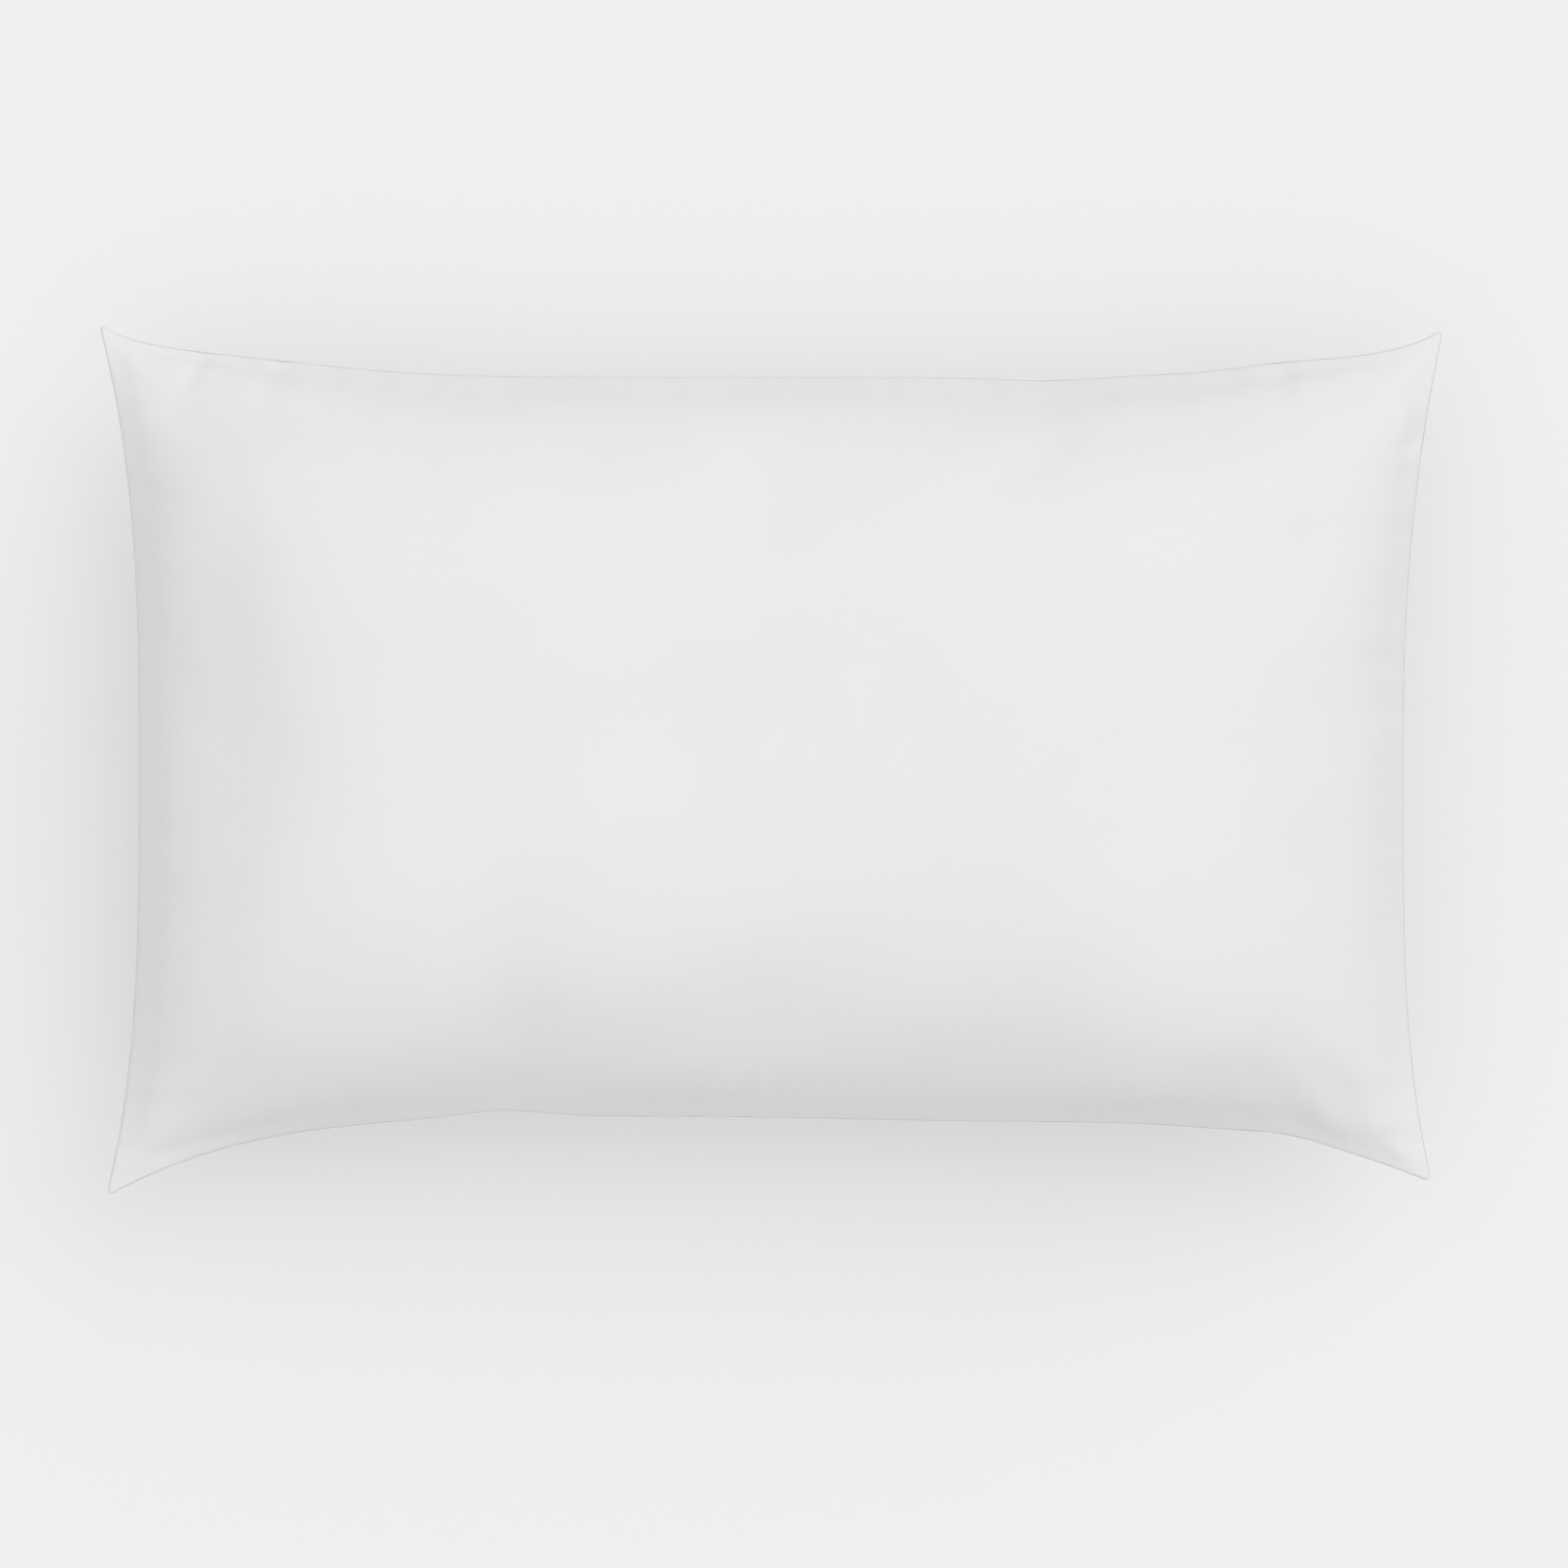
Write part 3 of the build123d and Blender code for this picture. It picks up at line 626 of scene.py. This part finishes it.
def seam_line(inset, tip_pull, pitch):
    """Closed line that follows the seam inside it: points one pitch apart, tangents and the
    inward direction across it."""
    marks = np.linspace(-1, 1, 400, endpoint=False)
    end = np.ones_like(marks)
    a = np.concatenate([marks, end, -marks, -end])
    b = np.concatenate([-end, marks, end, -marks])
    x, y = plan(*soften_tips(a, b), inset, tip_pull)
    z = seam_height - droop(a, b)
    rough = np.stack([x, y, z], -1) + settle(np.arcsin(a) * 2 / np.pi, np.arcsin(b) * 2 / np.pi, 1)
    rough = np.concatenate([rough, rough[:1]])
    length = np.concatenate([[0], np.cumsum(np.linalg.norm(np.diff(rough, axis=0), axis=1))])
    count = int(length[-1] / pitch)
    marks = np.arange(count) * length[-1] / count
    line = np.stack([np.interp(marks, length, rough[:, k]) for k in range(3)], -1)
    ahead = np.roll(line, -1, axis=0) - np.roll(line, 1, axis=0)
    ahead = ahead / np.linalg.norm(ahead, axis=1, keepdims=True)
    inward = np.cross([0, 0, 1], ahead)
    return line, ahead, inward


def overlock(inset, tip_pull):
    """Loops that wrap the seam's raw edges, an ellipse round the line that moves on one pitch
    each turn, and the needle thread beside them."""
    line, ahead, inward = seam_line(inset, tip_pull, LOOP_PITCH / LOOP_STEPS)
    turn = np.arange(len(line)) * 2 * np.pi / LOOP_STEPS
    loops = line + LOOP_HALF_WIDTH * np.cos(turn)[:, None] * inward
    loops[:, 2] += LOOP_HALF_HEIGHT * np.sin(turn)
    line, _, inward = seam_line(inset, tip_pull, LOOP_PITCH / 2)
    needle = line - LOOP_HALF_WIDTH * inward
    needle[:, 2] += LOOP_HALF_HEIGHT * np.cos(np.arange(len(line)) * np.pi) * 0.6
    up = np.broadcast_to([0.0, 0.0, 1.0], needle.shape)
    return join(tubes(loops[None], ahead[None], LOOP_THREAD, 4, closed=True),
                tubes(needle[None], up[None], LOOP_THREAD, 4, closed=True))


# Sewing thread: spun polyester-cotton, twisted, with a soft sheen. Its twist is 0.4 mm a turn
# and is drawn at 0.8 mm.
thread, shader = new_material("sewing thread, spun polyester-cotton", Roughness=0.6,
                              Specular_IOR_Level=0.35, Sheen_Weight=0.2, Base_Color=linear("#e8e8e6"))
place = add(thread, "ShaderNodeTexCoord").outputs["Object"]
twist = add(thread, "ShaderNodeTexWave", {"bands_direction": "DIAGONAL"},
            {"Scale": 400, "Distortion": 1.5}, {"Vector": place}).outputs["Fac"]
# Painted shade: the thread is coloured darker in the grooves of its twist, where the same wave makes the
# bump low.
tone = add(thread, "ShaderNodeMix", {"data_type": "RGBA"},
           {"A": linear("#dededb"), "B": linear("#f0f0ee")}, {"Factor": twist})
bump = add(thread, "ShaderNodeBump", inputs={"Strength": 0.4, "Distance": 0.0001},
           links={"Height": twist})
feed(thread, shader, Base_Color=tone.outputs["Result"], Normal=bump.outputs["Normal"])


def thread_piece(name, mesh, node):
    """Finished piece of sewing thread that stands for a node of the frame."""
    piece = mesh_piece(name, *mesh)
    piece.data.materials.append(thread)
    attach(piece, "root")
    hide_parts(node)
    return piece


thread_piece("ticking_seam_overlock", overlock(0.0112, 0.036), "ticking_overlocked_seam")

# ---------------------------------------------------------------------------------------------
# Ticking closing stitch: after filling, the gap left in the bag's left side is shut with slanting
# whip stitches over its edge, of the same thread, along 180 mm.

CLOSING_PITCH = 0.0032
CLOSING_TURN_STEPS = 10
WHIP_IN, WHIP_HALF_WIDTH, WHIP_HALF_HEIGHT = 0.0011, 0.0016, 0.0024
WHIP_THREAD = 0.0002
closing_low, closing_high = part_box("ticking_closing_stitch")
closing_y = np.arange(closing_low.y, closing_high.y, CLOSING_PITCH / CLOSING_TURN_STEPS)
closing_turn = np.arange(len(closing_y)) * 2 * np.pi / CLOSING_TURN_STEPS
edge_x = side(closing_y / MID_SHORT, TICKING["inset"], 0.0, **LEFT)
edge_move = settle(-np.ones_like(closing_y), np.arcsin(closing_y / MID_SHORT) * 2 / np.pi, 1)
whip = np.stack([edge_x + WHIP_IN + WHIP_HALF_WIDTH * np.cos(closing_turn), closing_y,
                 seam_height + WHIP_HALF_HEIGHT * np.sin(closing_turn)], -1) + edge_move
along_y = np.broadcast_to([0.0, 1.0, 0.0], whip.shape)
thread_piece("ticking_closing_whip_stitch", tubes(whip[None], along_y[None], WHIP_THREAD, 6),
             "ticking_closing_stitch")

# ---------------------------------------------------------------------------------------------
# Ticking label: a blank strip of satin ribbon, folded double, its raw ends caught in the right
# seam of the ticking, so that the loop lies down along the wall.

RIBBON_THICK = 0.00015
RIBBON_GAP = 0.00035
RIBBON_BENDS = 9
RIBBON_TURN = 0.0012        # radius at which it turns down out of the seam
RIBBON_SAG = 0.0004


def ribbon_loop(outward, start, out, down):
    """Profile of a folded ribbon in x and z: level out of the seam, a bend, straight down, a
    half-circle fold, and back beside itself, as one line of points."""
    turn = np.linspace(0, np.pi / 2, RIBBON_BENDS)
    outer = [(0, 0), (out - RIBBON_TURN, 0)]
    outer += list(zip(out - RIBBON_TURN + RIBBON_TURN * np.sin(turn),
                      -RIBBON_TURN + RIBBON_TURN * np.cos(turn)))
    outer += [(out, -share * down) for share in (0.35, 0.55, 0.75, 0.9)]
    outer = np.array(outer)
    step = np.gradient(outer, axis=0)
    normal = np.stack([step[:, 1], -step[:, 0]], -1) / np.linalg.norm(step, axis=1, keepdims=True)
    inner = (outer + RIBBON_GAP * normal)[::-1]
    fold = np.linspace(0, np.pi, RIBBON_BENDS)[1:-1]
    middle = (outer[-1] + inner[0]) / 2
    bend = np.stack([middle[0] + RIBBON_GAP / 2 * np.cos(fold),
                     middle[1] - RIBBON_GAP * np.sin(fold)], -1)
    profile = np.concatenate([outer, bend, inner])
    return np.stack([start + outward * profile[:, 0], seam_height + profile[:, 1]], -1)


def label_piece(name, node, outward, start, out, down):
    """Blank label made of a ribbon loop carried along the seam, 40 mm wide, with its UV."""
    low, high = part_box(node)
    profile = ribbon_loop(outward, start, out, down)
    across = np.linspace(low.y, high.y, 25)
    sag = RIBBON_SAG * np.sin(np.pi * (across - low.y) / (high.y - low.y))
    x = profile[:, :1] + outward * sag
    points = np.stack(np.broadcast_arrays(x, across, profile[:, 1:]), -1)
    length = np.concatenate([[0], np.cumsum(np.linalg.norm(np.diff(profile, axis=0), axis=1))])
    uv = np.stack(np.broadcast_arrays(across, length[:, None]), -1)
    number = np.arange(points.size // 3).reshape(points.shape[:2])
    label = mesh_piece(name, points.reshape(-1, 3), grid_faces(number, outward > 0),
                       uv.reshape(-1, 2))
    thicken(label, RIBBON_THICK)
    label.data.materials.append(satin)
    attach(label, "root")
    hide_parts(node)
    return label


# Polyester satin ribbon: smooth, white, shiny along the threads. Its threads are 0.1 mm apart
# and are drawn at 0.4 mm.
satin, shader = new_material("polyester satin ribbon, woven", Roughness=0.38,
                             Specular_IOR_Level=0.5, Sheen_Weight=0.2, Anisotropic=0.4)
place = add(satin, "ShaderNodeTexCoord").outputs["Object"]
shade = add(satin, "ShaderNodeTexNoise", inputs={"Scale": 200, "Detail": 2},
            links={"Vector": place}).outputs["Fac"]
tone = add(satin, "ShaderNodeMix", {"data_type": "RGBA"},
           {"A": linear("#eae9e6"), "B": linear("#f6f5f2")}, {"Factor": shade})
bump = add(satin, "ShaderNodeBump", inputs={"Strength": 0.3, "Distance": 0.00005},
           links={"Height": weave(satin, 0.0004, 1)})
feed(satin, shader, Base_Color=tone.outputs["Result"], Normal=bump.outputs["Normal"])

label_piece("ticking_label_ribbon", "ticking_label", 1, 0.3225, 0.0032, 0.0100)

# ---------------------------------------------------------------------------------------------
# Cover front panel: the upper panel of the zipped cover, cotton percale cut 750 x 500 mm. It is
# sewn to the back panel face to face and turned, so the seam shows only as a fine line.

COVER_THICK = 0.0004
COVER_GRID = (241, 161)

# Cotton percale, bleached and brushed: white, matt, with a faint sheen at a glancing angle. Its
# threads are 0.25 mm apart and are drawn at 0.5 mm.
percale, shader = new_material("cotton percale, bleached plain weave", Roughness=0.88,
                               Specular_IOR_Level=0.2, Sheen_Weight=0.08, Sheen_Roughness=0.5)
place = add(percale, "ShaderNodeTexCoord").outputs["Object"]
cloud = add(percale, "ShaderNodeTexNoise", inputs={"Scale": 9, "Detail": 5, "Roughness": 0.6},
            links={"Vector": place}).outputs["Fac"]
tone = add(percale, "ShaderNodeMix", {"data_type": "RGBA"},
           {"A": linear("#e2e2e2"), "B": linear("#e7e7e7")}, {"Factor": cloud})
nap = add(percale, "ShaderNodeTexNoise", inputs={"Scale": 900, "Detail": 3},
          links={"Vector": place}).outputs["Fac"]
cloth_height = add(percale, "ShaderNodeMath", {"operation": "MULTIPLY_ADD"}, {1: 0.5},
                   {0: nap, 2: weave(percale, 0.0005, 1)}).outputs[0]
bump = add(percale, "ShaderNodeBump", inputs={"Strength": 0.25, "Distance": 0.0001},
           links={"Height": cloth_height})
feed(percale, shader, Base_Color=tone.outputs["Result"], Normal=bump.outputs["Normal"])

front_a, front_b = np.meshgrid(np.linspace(-1, 1, COVER_GRID[0]),
                               np.linspace(-1, 1, COVER_GRID[1]), indexing="ij")
points, faces, uv, _ = panel_mesh(front_a, front_b, 1)
cover_front = mesh_piece("cover_front_cloth", points, faces, uv)
thicken(cover_front, COVER_THICK)
cover_front.data.materials.append(percale)
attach(cover_front, "root")
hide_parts("cover_front_panel")

# ---------------------------------------------------------------------------------------------
# Cover back panel: the lower panel, of the same percale. Near its long seam it is slit for the
# zip; the edges of the slit are folded under and the tapes draw the cloth flat round it.

PIN_ABOVE_TAPE = 0.00385    # middle of the pull's bar over the middle of the tapes
SLOT_HALF_LENGTH = 0.2155
SLOT_HALF_WIDTH = 0.0046
CLOTH_ON_TAPE = 0.0009      # outer face of the folded cloth over the middle of the tapes
FOLD = ((0.00018, 0.00060), (-0.00004, 0.00036), (-0.0040, 0.00036))
BACK_THICK = COVER_THICK * 0.65     # thinner, so that the fold stays clear of the tapes
DRAWN_UP, DRAWN_UP_FADE = 0.018, 0.009      # how far up and along the tapes draw the cloth
DRAWN_ALONG, DRAWN_ALONG_FADE = 0.262, 0.040
WALL_END = -0.4             # step across at which the wall by the zip ends
SEAM_FREE = 0.03            # steps from the seam in which the tapes stop drawing on it

swing = next(j for j in frame["joints"] if j["name"] == "pull_swing")
UP_WALL = np.array(swing["axis"], float)
UP_WALL /= np.linalg.norm(UP_WALL)
ALONG = np.array([1.0, 0.0, 0.0])
OUT = np.cross(ALONG, UP_WALL)
ZIP_AT = np.array(swing["pos_m"], float) - PIN_ABOVE_TAPE * OUT
ZIP_AT[0] = 0.0


def on_zip(x, s, n):
    """Point x along the zip, s up the wall and n out of it, from the middle of the tapes."""
    x, s, n = np.broadcast_arrays(x, s, n)
    return ZIP_AT + x[..., None] * ALONG + s[..., None] * UP_WALL + n[..., None] * OUT


def wall_height(a, b):
    """How far up the wall from the zip a point of the back panel's even loft is."""
    return (loft(a, b, -1) - ZIP_AT) @ UP_WALL


# Lines of the grid that follow the slit: two columns at its ends, and two rows along its sides
line_a, line_b = np.linspace(-1, 1, COVER_GRID[0]), np.linspace(-1, 1, COVER_GRID[1])
near_b = np.linspace(-1, -0.5, 2001)
zip_b = np.interp(0, -wall_height(0.0, near_b), near_b)
fine_a = np.linspace(-1, 1, 2001)
fine_x = loft(fine_a, np.full_like(fine_a, zip_b), -1)[:, 0]
slot_a = np.interp([-SLOT_HALF_LENGTH, SLOT_HALF_LENGTH], fine_x, fine_a)
first, last = (int(np.abs(line_a - at).argmin()) for at in slot_a)
line_a = np.interp(line_a, [-1, line_a[first], line_a[last], 1], [-1, *slot_a, 1])
held_a = np.clip(line_a, *np.interp([-0.24, 0.24], fine_x, fine_a))
wall = wall_height(held_a[:, None], near_b[None])
rows_b = [np.array([np.interp(-at, -row, near_b) for row in wall])
          for at in (SLOT_HALF_WIDTH, -SLOT_HALF_WIDTH)]
upper, lower = (int(np.abs(line_b - rows[len(rows) // 2]).argmin()) for rows in rows_b)
knots = [-1, line_b[upper], line_b[lower], WALL_END, 1]
back_b = np.stack([np.interp(line_b, knots, [-1, high, low, WALL_END, 1]) for high, low in zip(*rows_b)])
back_a = np.broadcast_to(line_a[:, None], back_b.shape).copy()

points, faces, uv, grid = panel_mesh(back_a, back_b, -1)
local = np.stack([(grid - ZIP_AT) @ axis for axis in (ALONG, UP_WALL, OUT)], -1)
x, s, n = np.moveaxis(local, -1, 0)
tight = ramp((DRAWN_UP - np.abs(s)) / DRAWN_UP_FADE) * ramp((DRAWN_ALONG - np.abs(x)) / DRAWN_ALONG_FADE)
tight = tight * (back_b < WALL_END) * ramp((1 + back_b) / SEAM_FREE)
high, low = s[:, upper][:, None], s[:, lower][:, None]
share = np.clip((high - s) / (high - low), 0, 1)
shift = (SLOT_HALF_WIDTH - high) * (1 - share) - (SLOT_HALF_WIDTH + low) * share
s = s + tight * shift
n = n + tight * (CLOTH_ON_TAPE - n)
for column, at in ((first, -SLOT_HALF_LENGTH), (last, SLOT_HALF_LENGTH)):
    x[column, upper:lower + 1] = at
points[:grid.size // 3] = on_zip(x, s, n).reshape(-1, 3)
number = np.arange(grid.size // 3).reshape(grid.shape[:2])
corner_sets = number[first:last + 1, upper:lower + 1]
in_slot = np.zeros(len(points), bool)
in_slot[corner_sets.ravel()] = True
faces = faces[~in_slot[faces].all(axis=1)]
slot_loop = loop_of(corner_sets)
loop_x, loop_s = x.ravel()[slot_loop], s.ravel()[slot_loop]
rim = slot_loop
for narrower, above in FOLD:
    ring_x = loop_x * (1 - narrower / SLOT_HALF_LENGTH)
    ring_s = loop_s * (1 - narrower / SLOT_HALF_WIDTH)
    ring = len(points) + np.arange(len(slot_loop))
    points = np.concatenate([points, on_zip(ring_x, ring_s, above)])
    uv = np.concatenate([uv, uv[slot_loop] + 0.001 * above])
    faces = np.concatenate([faces, strip_faces(rim, ring, False)])
    rim = ring
kept = np.unique(faces)
renumber = np.zeros(len(points), int)
renumber[kept] = np.arange(len(kept))
cover_back = mesh_piece("cover_back_cloth", points[kept], renumber[faces], uv[kept])
thicken(cover_back, BACK_THICK)
cover_back.data.materials.append(percale)
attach(cover_back, "root")
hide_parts("cover_back_panel")

# ---------------------------------------------------------------------------------------------
# Cover seam and care label: the cover's raw edges are bound by the same overlock stitch, and a
# blank folded ribbon is caught in the left seam, inside the cover.

thread_piece("cover_seam_overlock", overlock(0.0034, 0.007), "cover_overlocked_seam")
label_piece("cover_care_label_ribbon", "cover_care_label", 1, -0.3300, 0.0036, 0.0100)

# ---------------------------------------------------------------------------------------------
# Zip tapes: two strips of woven polyester, sewn under the folded edges of the slit. They keep the
# frame's own shape.

# Polyester zip tape: a tight herringbone of filament yarn, smoother and shinier than the cover.
# Its ribs are 0.5 mm apart and are drawn at 0.8 mm.
TAPE_RIB = 0.0008
CHEVRON = 0.0016
tape_cloth, shader = new_material("polyester zip tape, herringbone woven", Roughness=0.62,
                                  Specular_IOR_Level=0.4, Sheen_Weight=0.1)
place = add(tape_cloth, "ShaderNodeTexCoord").outputs["Object"]
level = add(tape_cloth, "ShaderNodeMapping", {"vector_type": "TEXTURE"},
            {"Location": ZIP_AT, "Rotation": (np.arctan2(UP_WALL[2], UP_WALL[1]), 0, 0)},
            {"Vector": place}).outputs["Vector"]
split = add(tape_cloth, "ShaderNodeSeparateXYZ", links={"Vector": level}).outputs
zigzag = add(tape_cloth, "ShaderNodeMath", {"operation": "PINGPONG"}, {1: CHEVRON},
             {0: split["Y"]}).outputs[0]
slant = add(tape_cloth, "ShaderNodeMath", links={0: split["X"], 1: zigzag}).outputs[0]
rib = add(tape_cloth, "ShaderNodeMath", {"operation": "MULTIPLY"}, {1: 2 * np.pi / TAPE_RIB},
          {0: slant}).outputs[0]
rib = add(tape_cloth, "ShaderNodeMath", {"operation": "SINE"}, links={0: rib}).outputs[0]
rib = add(tape_cloth, "ShaderNodeMath", {"operation": "MULTIPLY_ADD"}, {1: 0.5, 2: 0.5},
          {0: rib}).outputs[0]
# Painted shade: the tape is coloured darker in the troughs between its ribs, where the same rib makes the
# bump low.
tone = add(tape_cloth, "ShaderNodeMix", {"data_type": "RGBA"},
           {"A": linear("#dadad9"), "B": linear("#ebebea")}, {"Factor": rib})
bump = add(tape_cloth, "ShaderNodeBump", inputs={"Strength": 0.6, "Distance": 0.00012},
           links={"Height": rib})
feed(tape_cloth, shader, Base_Color=tone.outputs["Result"], Normal=bump.outputs["Normal"])


def finish_node(name, material):
    """Gives a node of the frame its material."""
    slots = frame["nodes"][name].data.materials
    slots.clear()
    slots.append(material)


finish_node("zip_tape_upper", tape_cloth)
finish_node("zip_tape_lower", tape_cloth)

# ---------------------------------------------------------------------------------------------
# Zip coils: size 3, each one nylon monofilament 0.55 mm thick, wound into a flat helix whose
# turns lock between the other's, and sewn to its tape by a thread along the turns.

COIL_PITCH = 0.0013
COIL_STEPS = 10
FILAMENT = 0.00028
TURN_MIDDLE, TURN_REACH = 0.0010, 0.00135
TURN_HEIGHT, TURN_RISE = 0.0011, 0.0005

# Nylon 6 monofilament: milky and half clear, with a smooth plastic gloss.
nylon, shader = new_material("nylon monofilament, drawn", Roughness=0.32, IOR=1.53,
                             Subsurface_Weight=0.15, Subsurface_Scale=0.001)
place = add(nylon, "ShaderNodeTexCoord").outputs["Object"]
milk = add(nylon, "ShaderNodeTexNoise", inputs={"Scale": 900, "Detail": 2},
           links={"Vector": place}).outputs["Fac"]
tone = add(nylon, "ShaderNodeMix", {"data_type": "RGBA"},
           {"A": linear("#dededc"), "B": linear("#ececea")}, {"Factor": milk})
gloss = add(nylon, "ShaderNodeMapRange", inputs={"To Min": 0.26, "To Max": 0.40},
            links={"Value": milk}).outputs["Result"]
feed(nylon, shader, Base_Color=tone.outputs["Result"], Roughness=gloss)

coil_half = (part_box("zip_coil_upper")[1].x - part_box("zip_coil_upper")[0].x) / 2
for row, sign, late in (("upper", 1, 0.0), ("lower", -1, 0.5)):
    turns = 2 * coil_half / COIL_PITCH - 1
    turn = np.arange(0, turns * COIL_STEPS) / COIL_STEPS
    x = -coil_half + (turn + late + 0.25) * COIL_PITCH
    swing_out = np.cos(2 * np.pi * turn)
    s = sign * (TURN_MIDDLE - TURN_REACH * np.sign(swing_out) * np.abs(swing_out) ** 0.8)
    n = TURN_HEIGHT + TURN_RISE * np.sin(2 * np.pi * turn) * sign
    helix = on_zip(x, s, n)
    along_x = np.broadcast_to(ALONG, helix.shape)
    sewn = on_zip(x, sign * (0.0019 + 0.00012 * np.sin(2 * np.pi * turn)),
                  TURN_HEIGHT + TURN_RISE + FILAMENT + 0.00002)
    out = np.broadcast_to(OUT, sewn.shape)
    coil = mesh_piece(f"zip_coil_{row}_turns",
                      *join(tubes(helix[None], along_x[None], FILAMENT, 6),
                            tubes(sewn[None, ::2], out[None, ::2], 0.00012, 4)))
    coil.data.materials.append(nylon)
    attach(coil, "root")
    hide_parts(f"zip_coil_{row}")

# ---------------------------------------------------------------------------------------------
# Zip stops: small clamps of nickel-plated zinc, two at the closed end and one across both tapes
# at the open end. They keep the frame's own shape.

# Nickel-plated metal, barrel polished: a warm pale grey mirror with a fine grain and tiny pits.
nickel, shader = new_material("nickel-plated zinc, barrel polished", Metallic=1.0, Roughness=0.25)
place = add(nickel, "ShaderNodeTexCoord").outputs["Object"]
grain = add(nickel, "ShaderNodeTexNoise", inputs={"Scale": 1800, "Detail": 4},
            links={"Vector": place}).outputs["Fac"]
wear = add(nickel, "ShaderNodeTexNoise", inputs={"Scale": 260, "Detail": 3},
           links={"Vector": place}).outputs["Fac"]
tone = add(nickel, "ShaderNodeMix", {"data_type": "RGBA"},
           {"A": linear("#c2c0ba"), "B": linear("#d6d4ce")}, {"Factor": wear})
gloss = add(nickel, "ShaderNodeMapRange", inputs={"To Min": 0.18, "To Max": 0.36},
            links={"Value": grain}).outputs["Result"]
bump = add(nickel, "ShaderNodeBump", inputs={"Strength": 0.15, "Distance": 0.00003},
           links={"Height": grain})
feed(nickel, shader, Base_Color=tone.outputs["Result"], Roughness=gloss,
     Normal=bump.outputs["Normal"])
finish_node("zip_top_stops", nickel)
finish_node("zip_bottom_stop", nickel)

# ---------------------------------------------------------------------------------------------
# Bar tacks and zip stitching: dense zigzags of thread across both tapes at the ends of the slit,
# and a row of lockstitch all round it, through the folded cloth and the tapes.

TACK_PASSES = 9
TACK_HALF_WIDTH = 0.0024
TACK_THREAD = 0.00016
TACK_LENGTH = 0.002
STITCH_PITCH = 0.0030
STITCH_SHARE = 0.88
STITCH_THREAD = 0.00019
STITCH_OFF = 0.0070
STITCH_END = 0.2182

tack_low, tack_high = (corner.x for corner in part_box("zip_bar_tacks"))
across = np.linspace(-1, 1, 9)
passes = np.arange(TACK_PASSES)[:, None]
tack_s = TACK_HALF_WIDTH * (across * np.where(passes % 2, -1, 1)).ravel()
tack_x = TACK_LENGTH * (np.arange(tack_s.size) / (tack_s.size - 1))
tack_n = 0.0003 + TACK_THREAD * (1 - 1.2 * (np.abs(tack_s) / TACK_HALF_WIDTH) ** 8)
tacks = []
for start in (tack_low, tack_high - TACK_LENGTH):
    path = on_zip(start + tack_x, tack_s, tack_n + 0.0001 * np.tile([0, 1], tack_s.size)[:tack_s.size])
    tacks.append(tubes(path[None], np.broadcast_to(OUT, path.shape)[None], TACK_THREAD, 6))
thread_piece("zip_bar_tack_threads", join(*tacks), "zip_bar_tacks")


def lockstitch(corners, n, outward, late):
    """Row of single stitches round a rectangle on the zip's plane: short tubes that rise out of
    the cloth as 1 - t to the fourth and dip back, each a few dozen faces."""
    starts, ways = [], []
    for (x0, s0), (x1, s1) in zip(corners, corners[1:] + corners[:1]):
        reach = np.hypot(x1 - x0, s1 - s0)
        count = max(1, round(reach / STITCH_PITCH))
        share = (np.arange(count) + 0.5 + late) / count
        starts.append(np.stack([x0 + (x1 - x0) * share, s0 + (s1 - s0) * share], -1))
        ways.append(np.tile([(x1 - x0) / reach, (s1 - s0) / reach], (count, 1)))
    middle, way = np.concatenate(starts), np.concatenate(ways)
    t = np.linspace(-1, 1, 6)
    flat = middle[:, None] + way[:, None] * (t * STITCH_PITCH * STITCH_SHARE / 2)[:, None]
    rise = n + outward * STITCH_THREAD * (1.1 * (1 - t ** 4) - 0.6)
    paths = on_zip(flat[..., 0], flat[..., 1], np.broadcast_to(rise, flat.shape[:2]))
    ups = np.broadcast_to(OUT, paths.shape)
    return tubes(paths, ups, STITCH_THREAD * (1 - 0.45 * t ** 4), 6)


stitch_corners = [(-STITCH_END, -STITCH_OFF), (STITCH_END, -STITCH_OFF),
                  (STITCH_END, STITCH_OFF), (-STITCH_END, STITCH_OFF)]
thread_piece("zip_lockstitch_rows", join(lockstitch(stitch_corners, CLOTH_ON_TAPE, 1, 0.0),
                                         lockstitch(stitch_corners, -0.0003, -1, 0.0)),
             "zip_stitching")

# ---------------------------------------------------------------------------------------------
# Slider and pull: a die-cast zinc body with a cap crimped over its lock spring, and a stamped pull
# that swings on the cap. They keep the frame's own shapes, so that they run and turn freely.

finish_node("zip_slider_body", nickel)
finish_node("zip_slider_cap", nickel)
finish_node("zip_pull_tab", nickel)

# Tempered spring steel strip, rolled: darker and bluer than the plating, with a grain along it.
spring_steel, shader = new_material("spring steel strip, cold rolled", Metallic=1.0, Roughness=0.35,
                                    Anisotropic=0.5)
place = add(spring_steel, "ShaderNodeTexCoord").outputs["Object"]
rolled = add(spring_steel, "ShaderNodeMapping", inputs={"Scale": (80, 2500, 2500)},
             links={"Vector": place}).outputs["Vector"]
grain = add(spring_steel, "ShaderNodeTexNoise", inputs={"Scale": 1, "Detail": 3},
            links={"Vector": rolled}).outputs["Fac"]
tone = add(spring_steel, "ShaderNodeMix", {"data_type": "RGBA"},
           {"A": linear("#8f9093"), "B": linear("#a9aaad")}, {"Factor": grain})
gloss = add(spring_steel, "ShaderNodeMapRange", inputs={"To Min": 0.28, "To Max": 0.45},
            links={"Value": grain}).outputs["Result"]
feed(spring_steel, shader, Base_Color=tone.outputs["Result"], Roughness=gloss)
finish_node("zip_lock_spring", spring_steel)
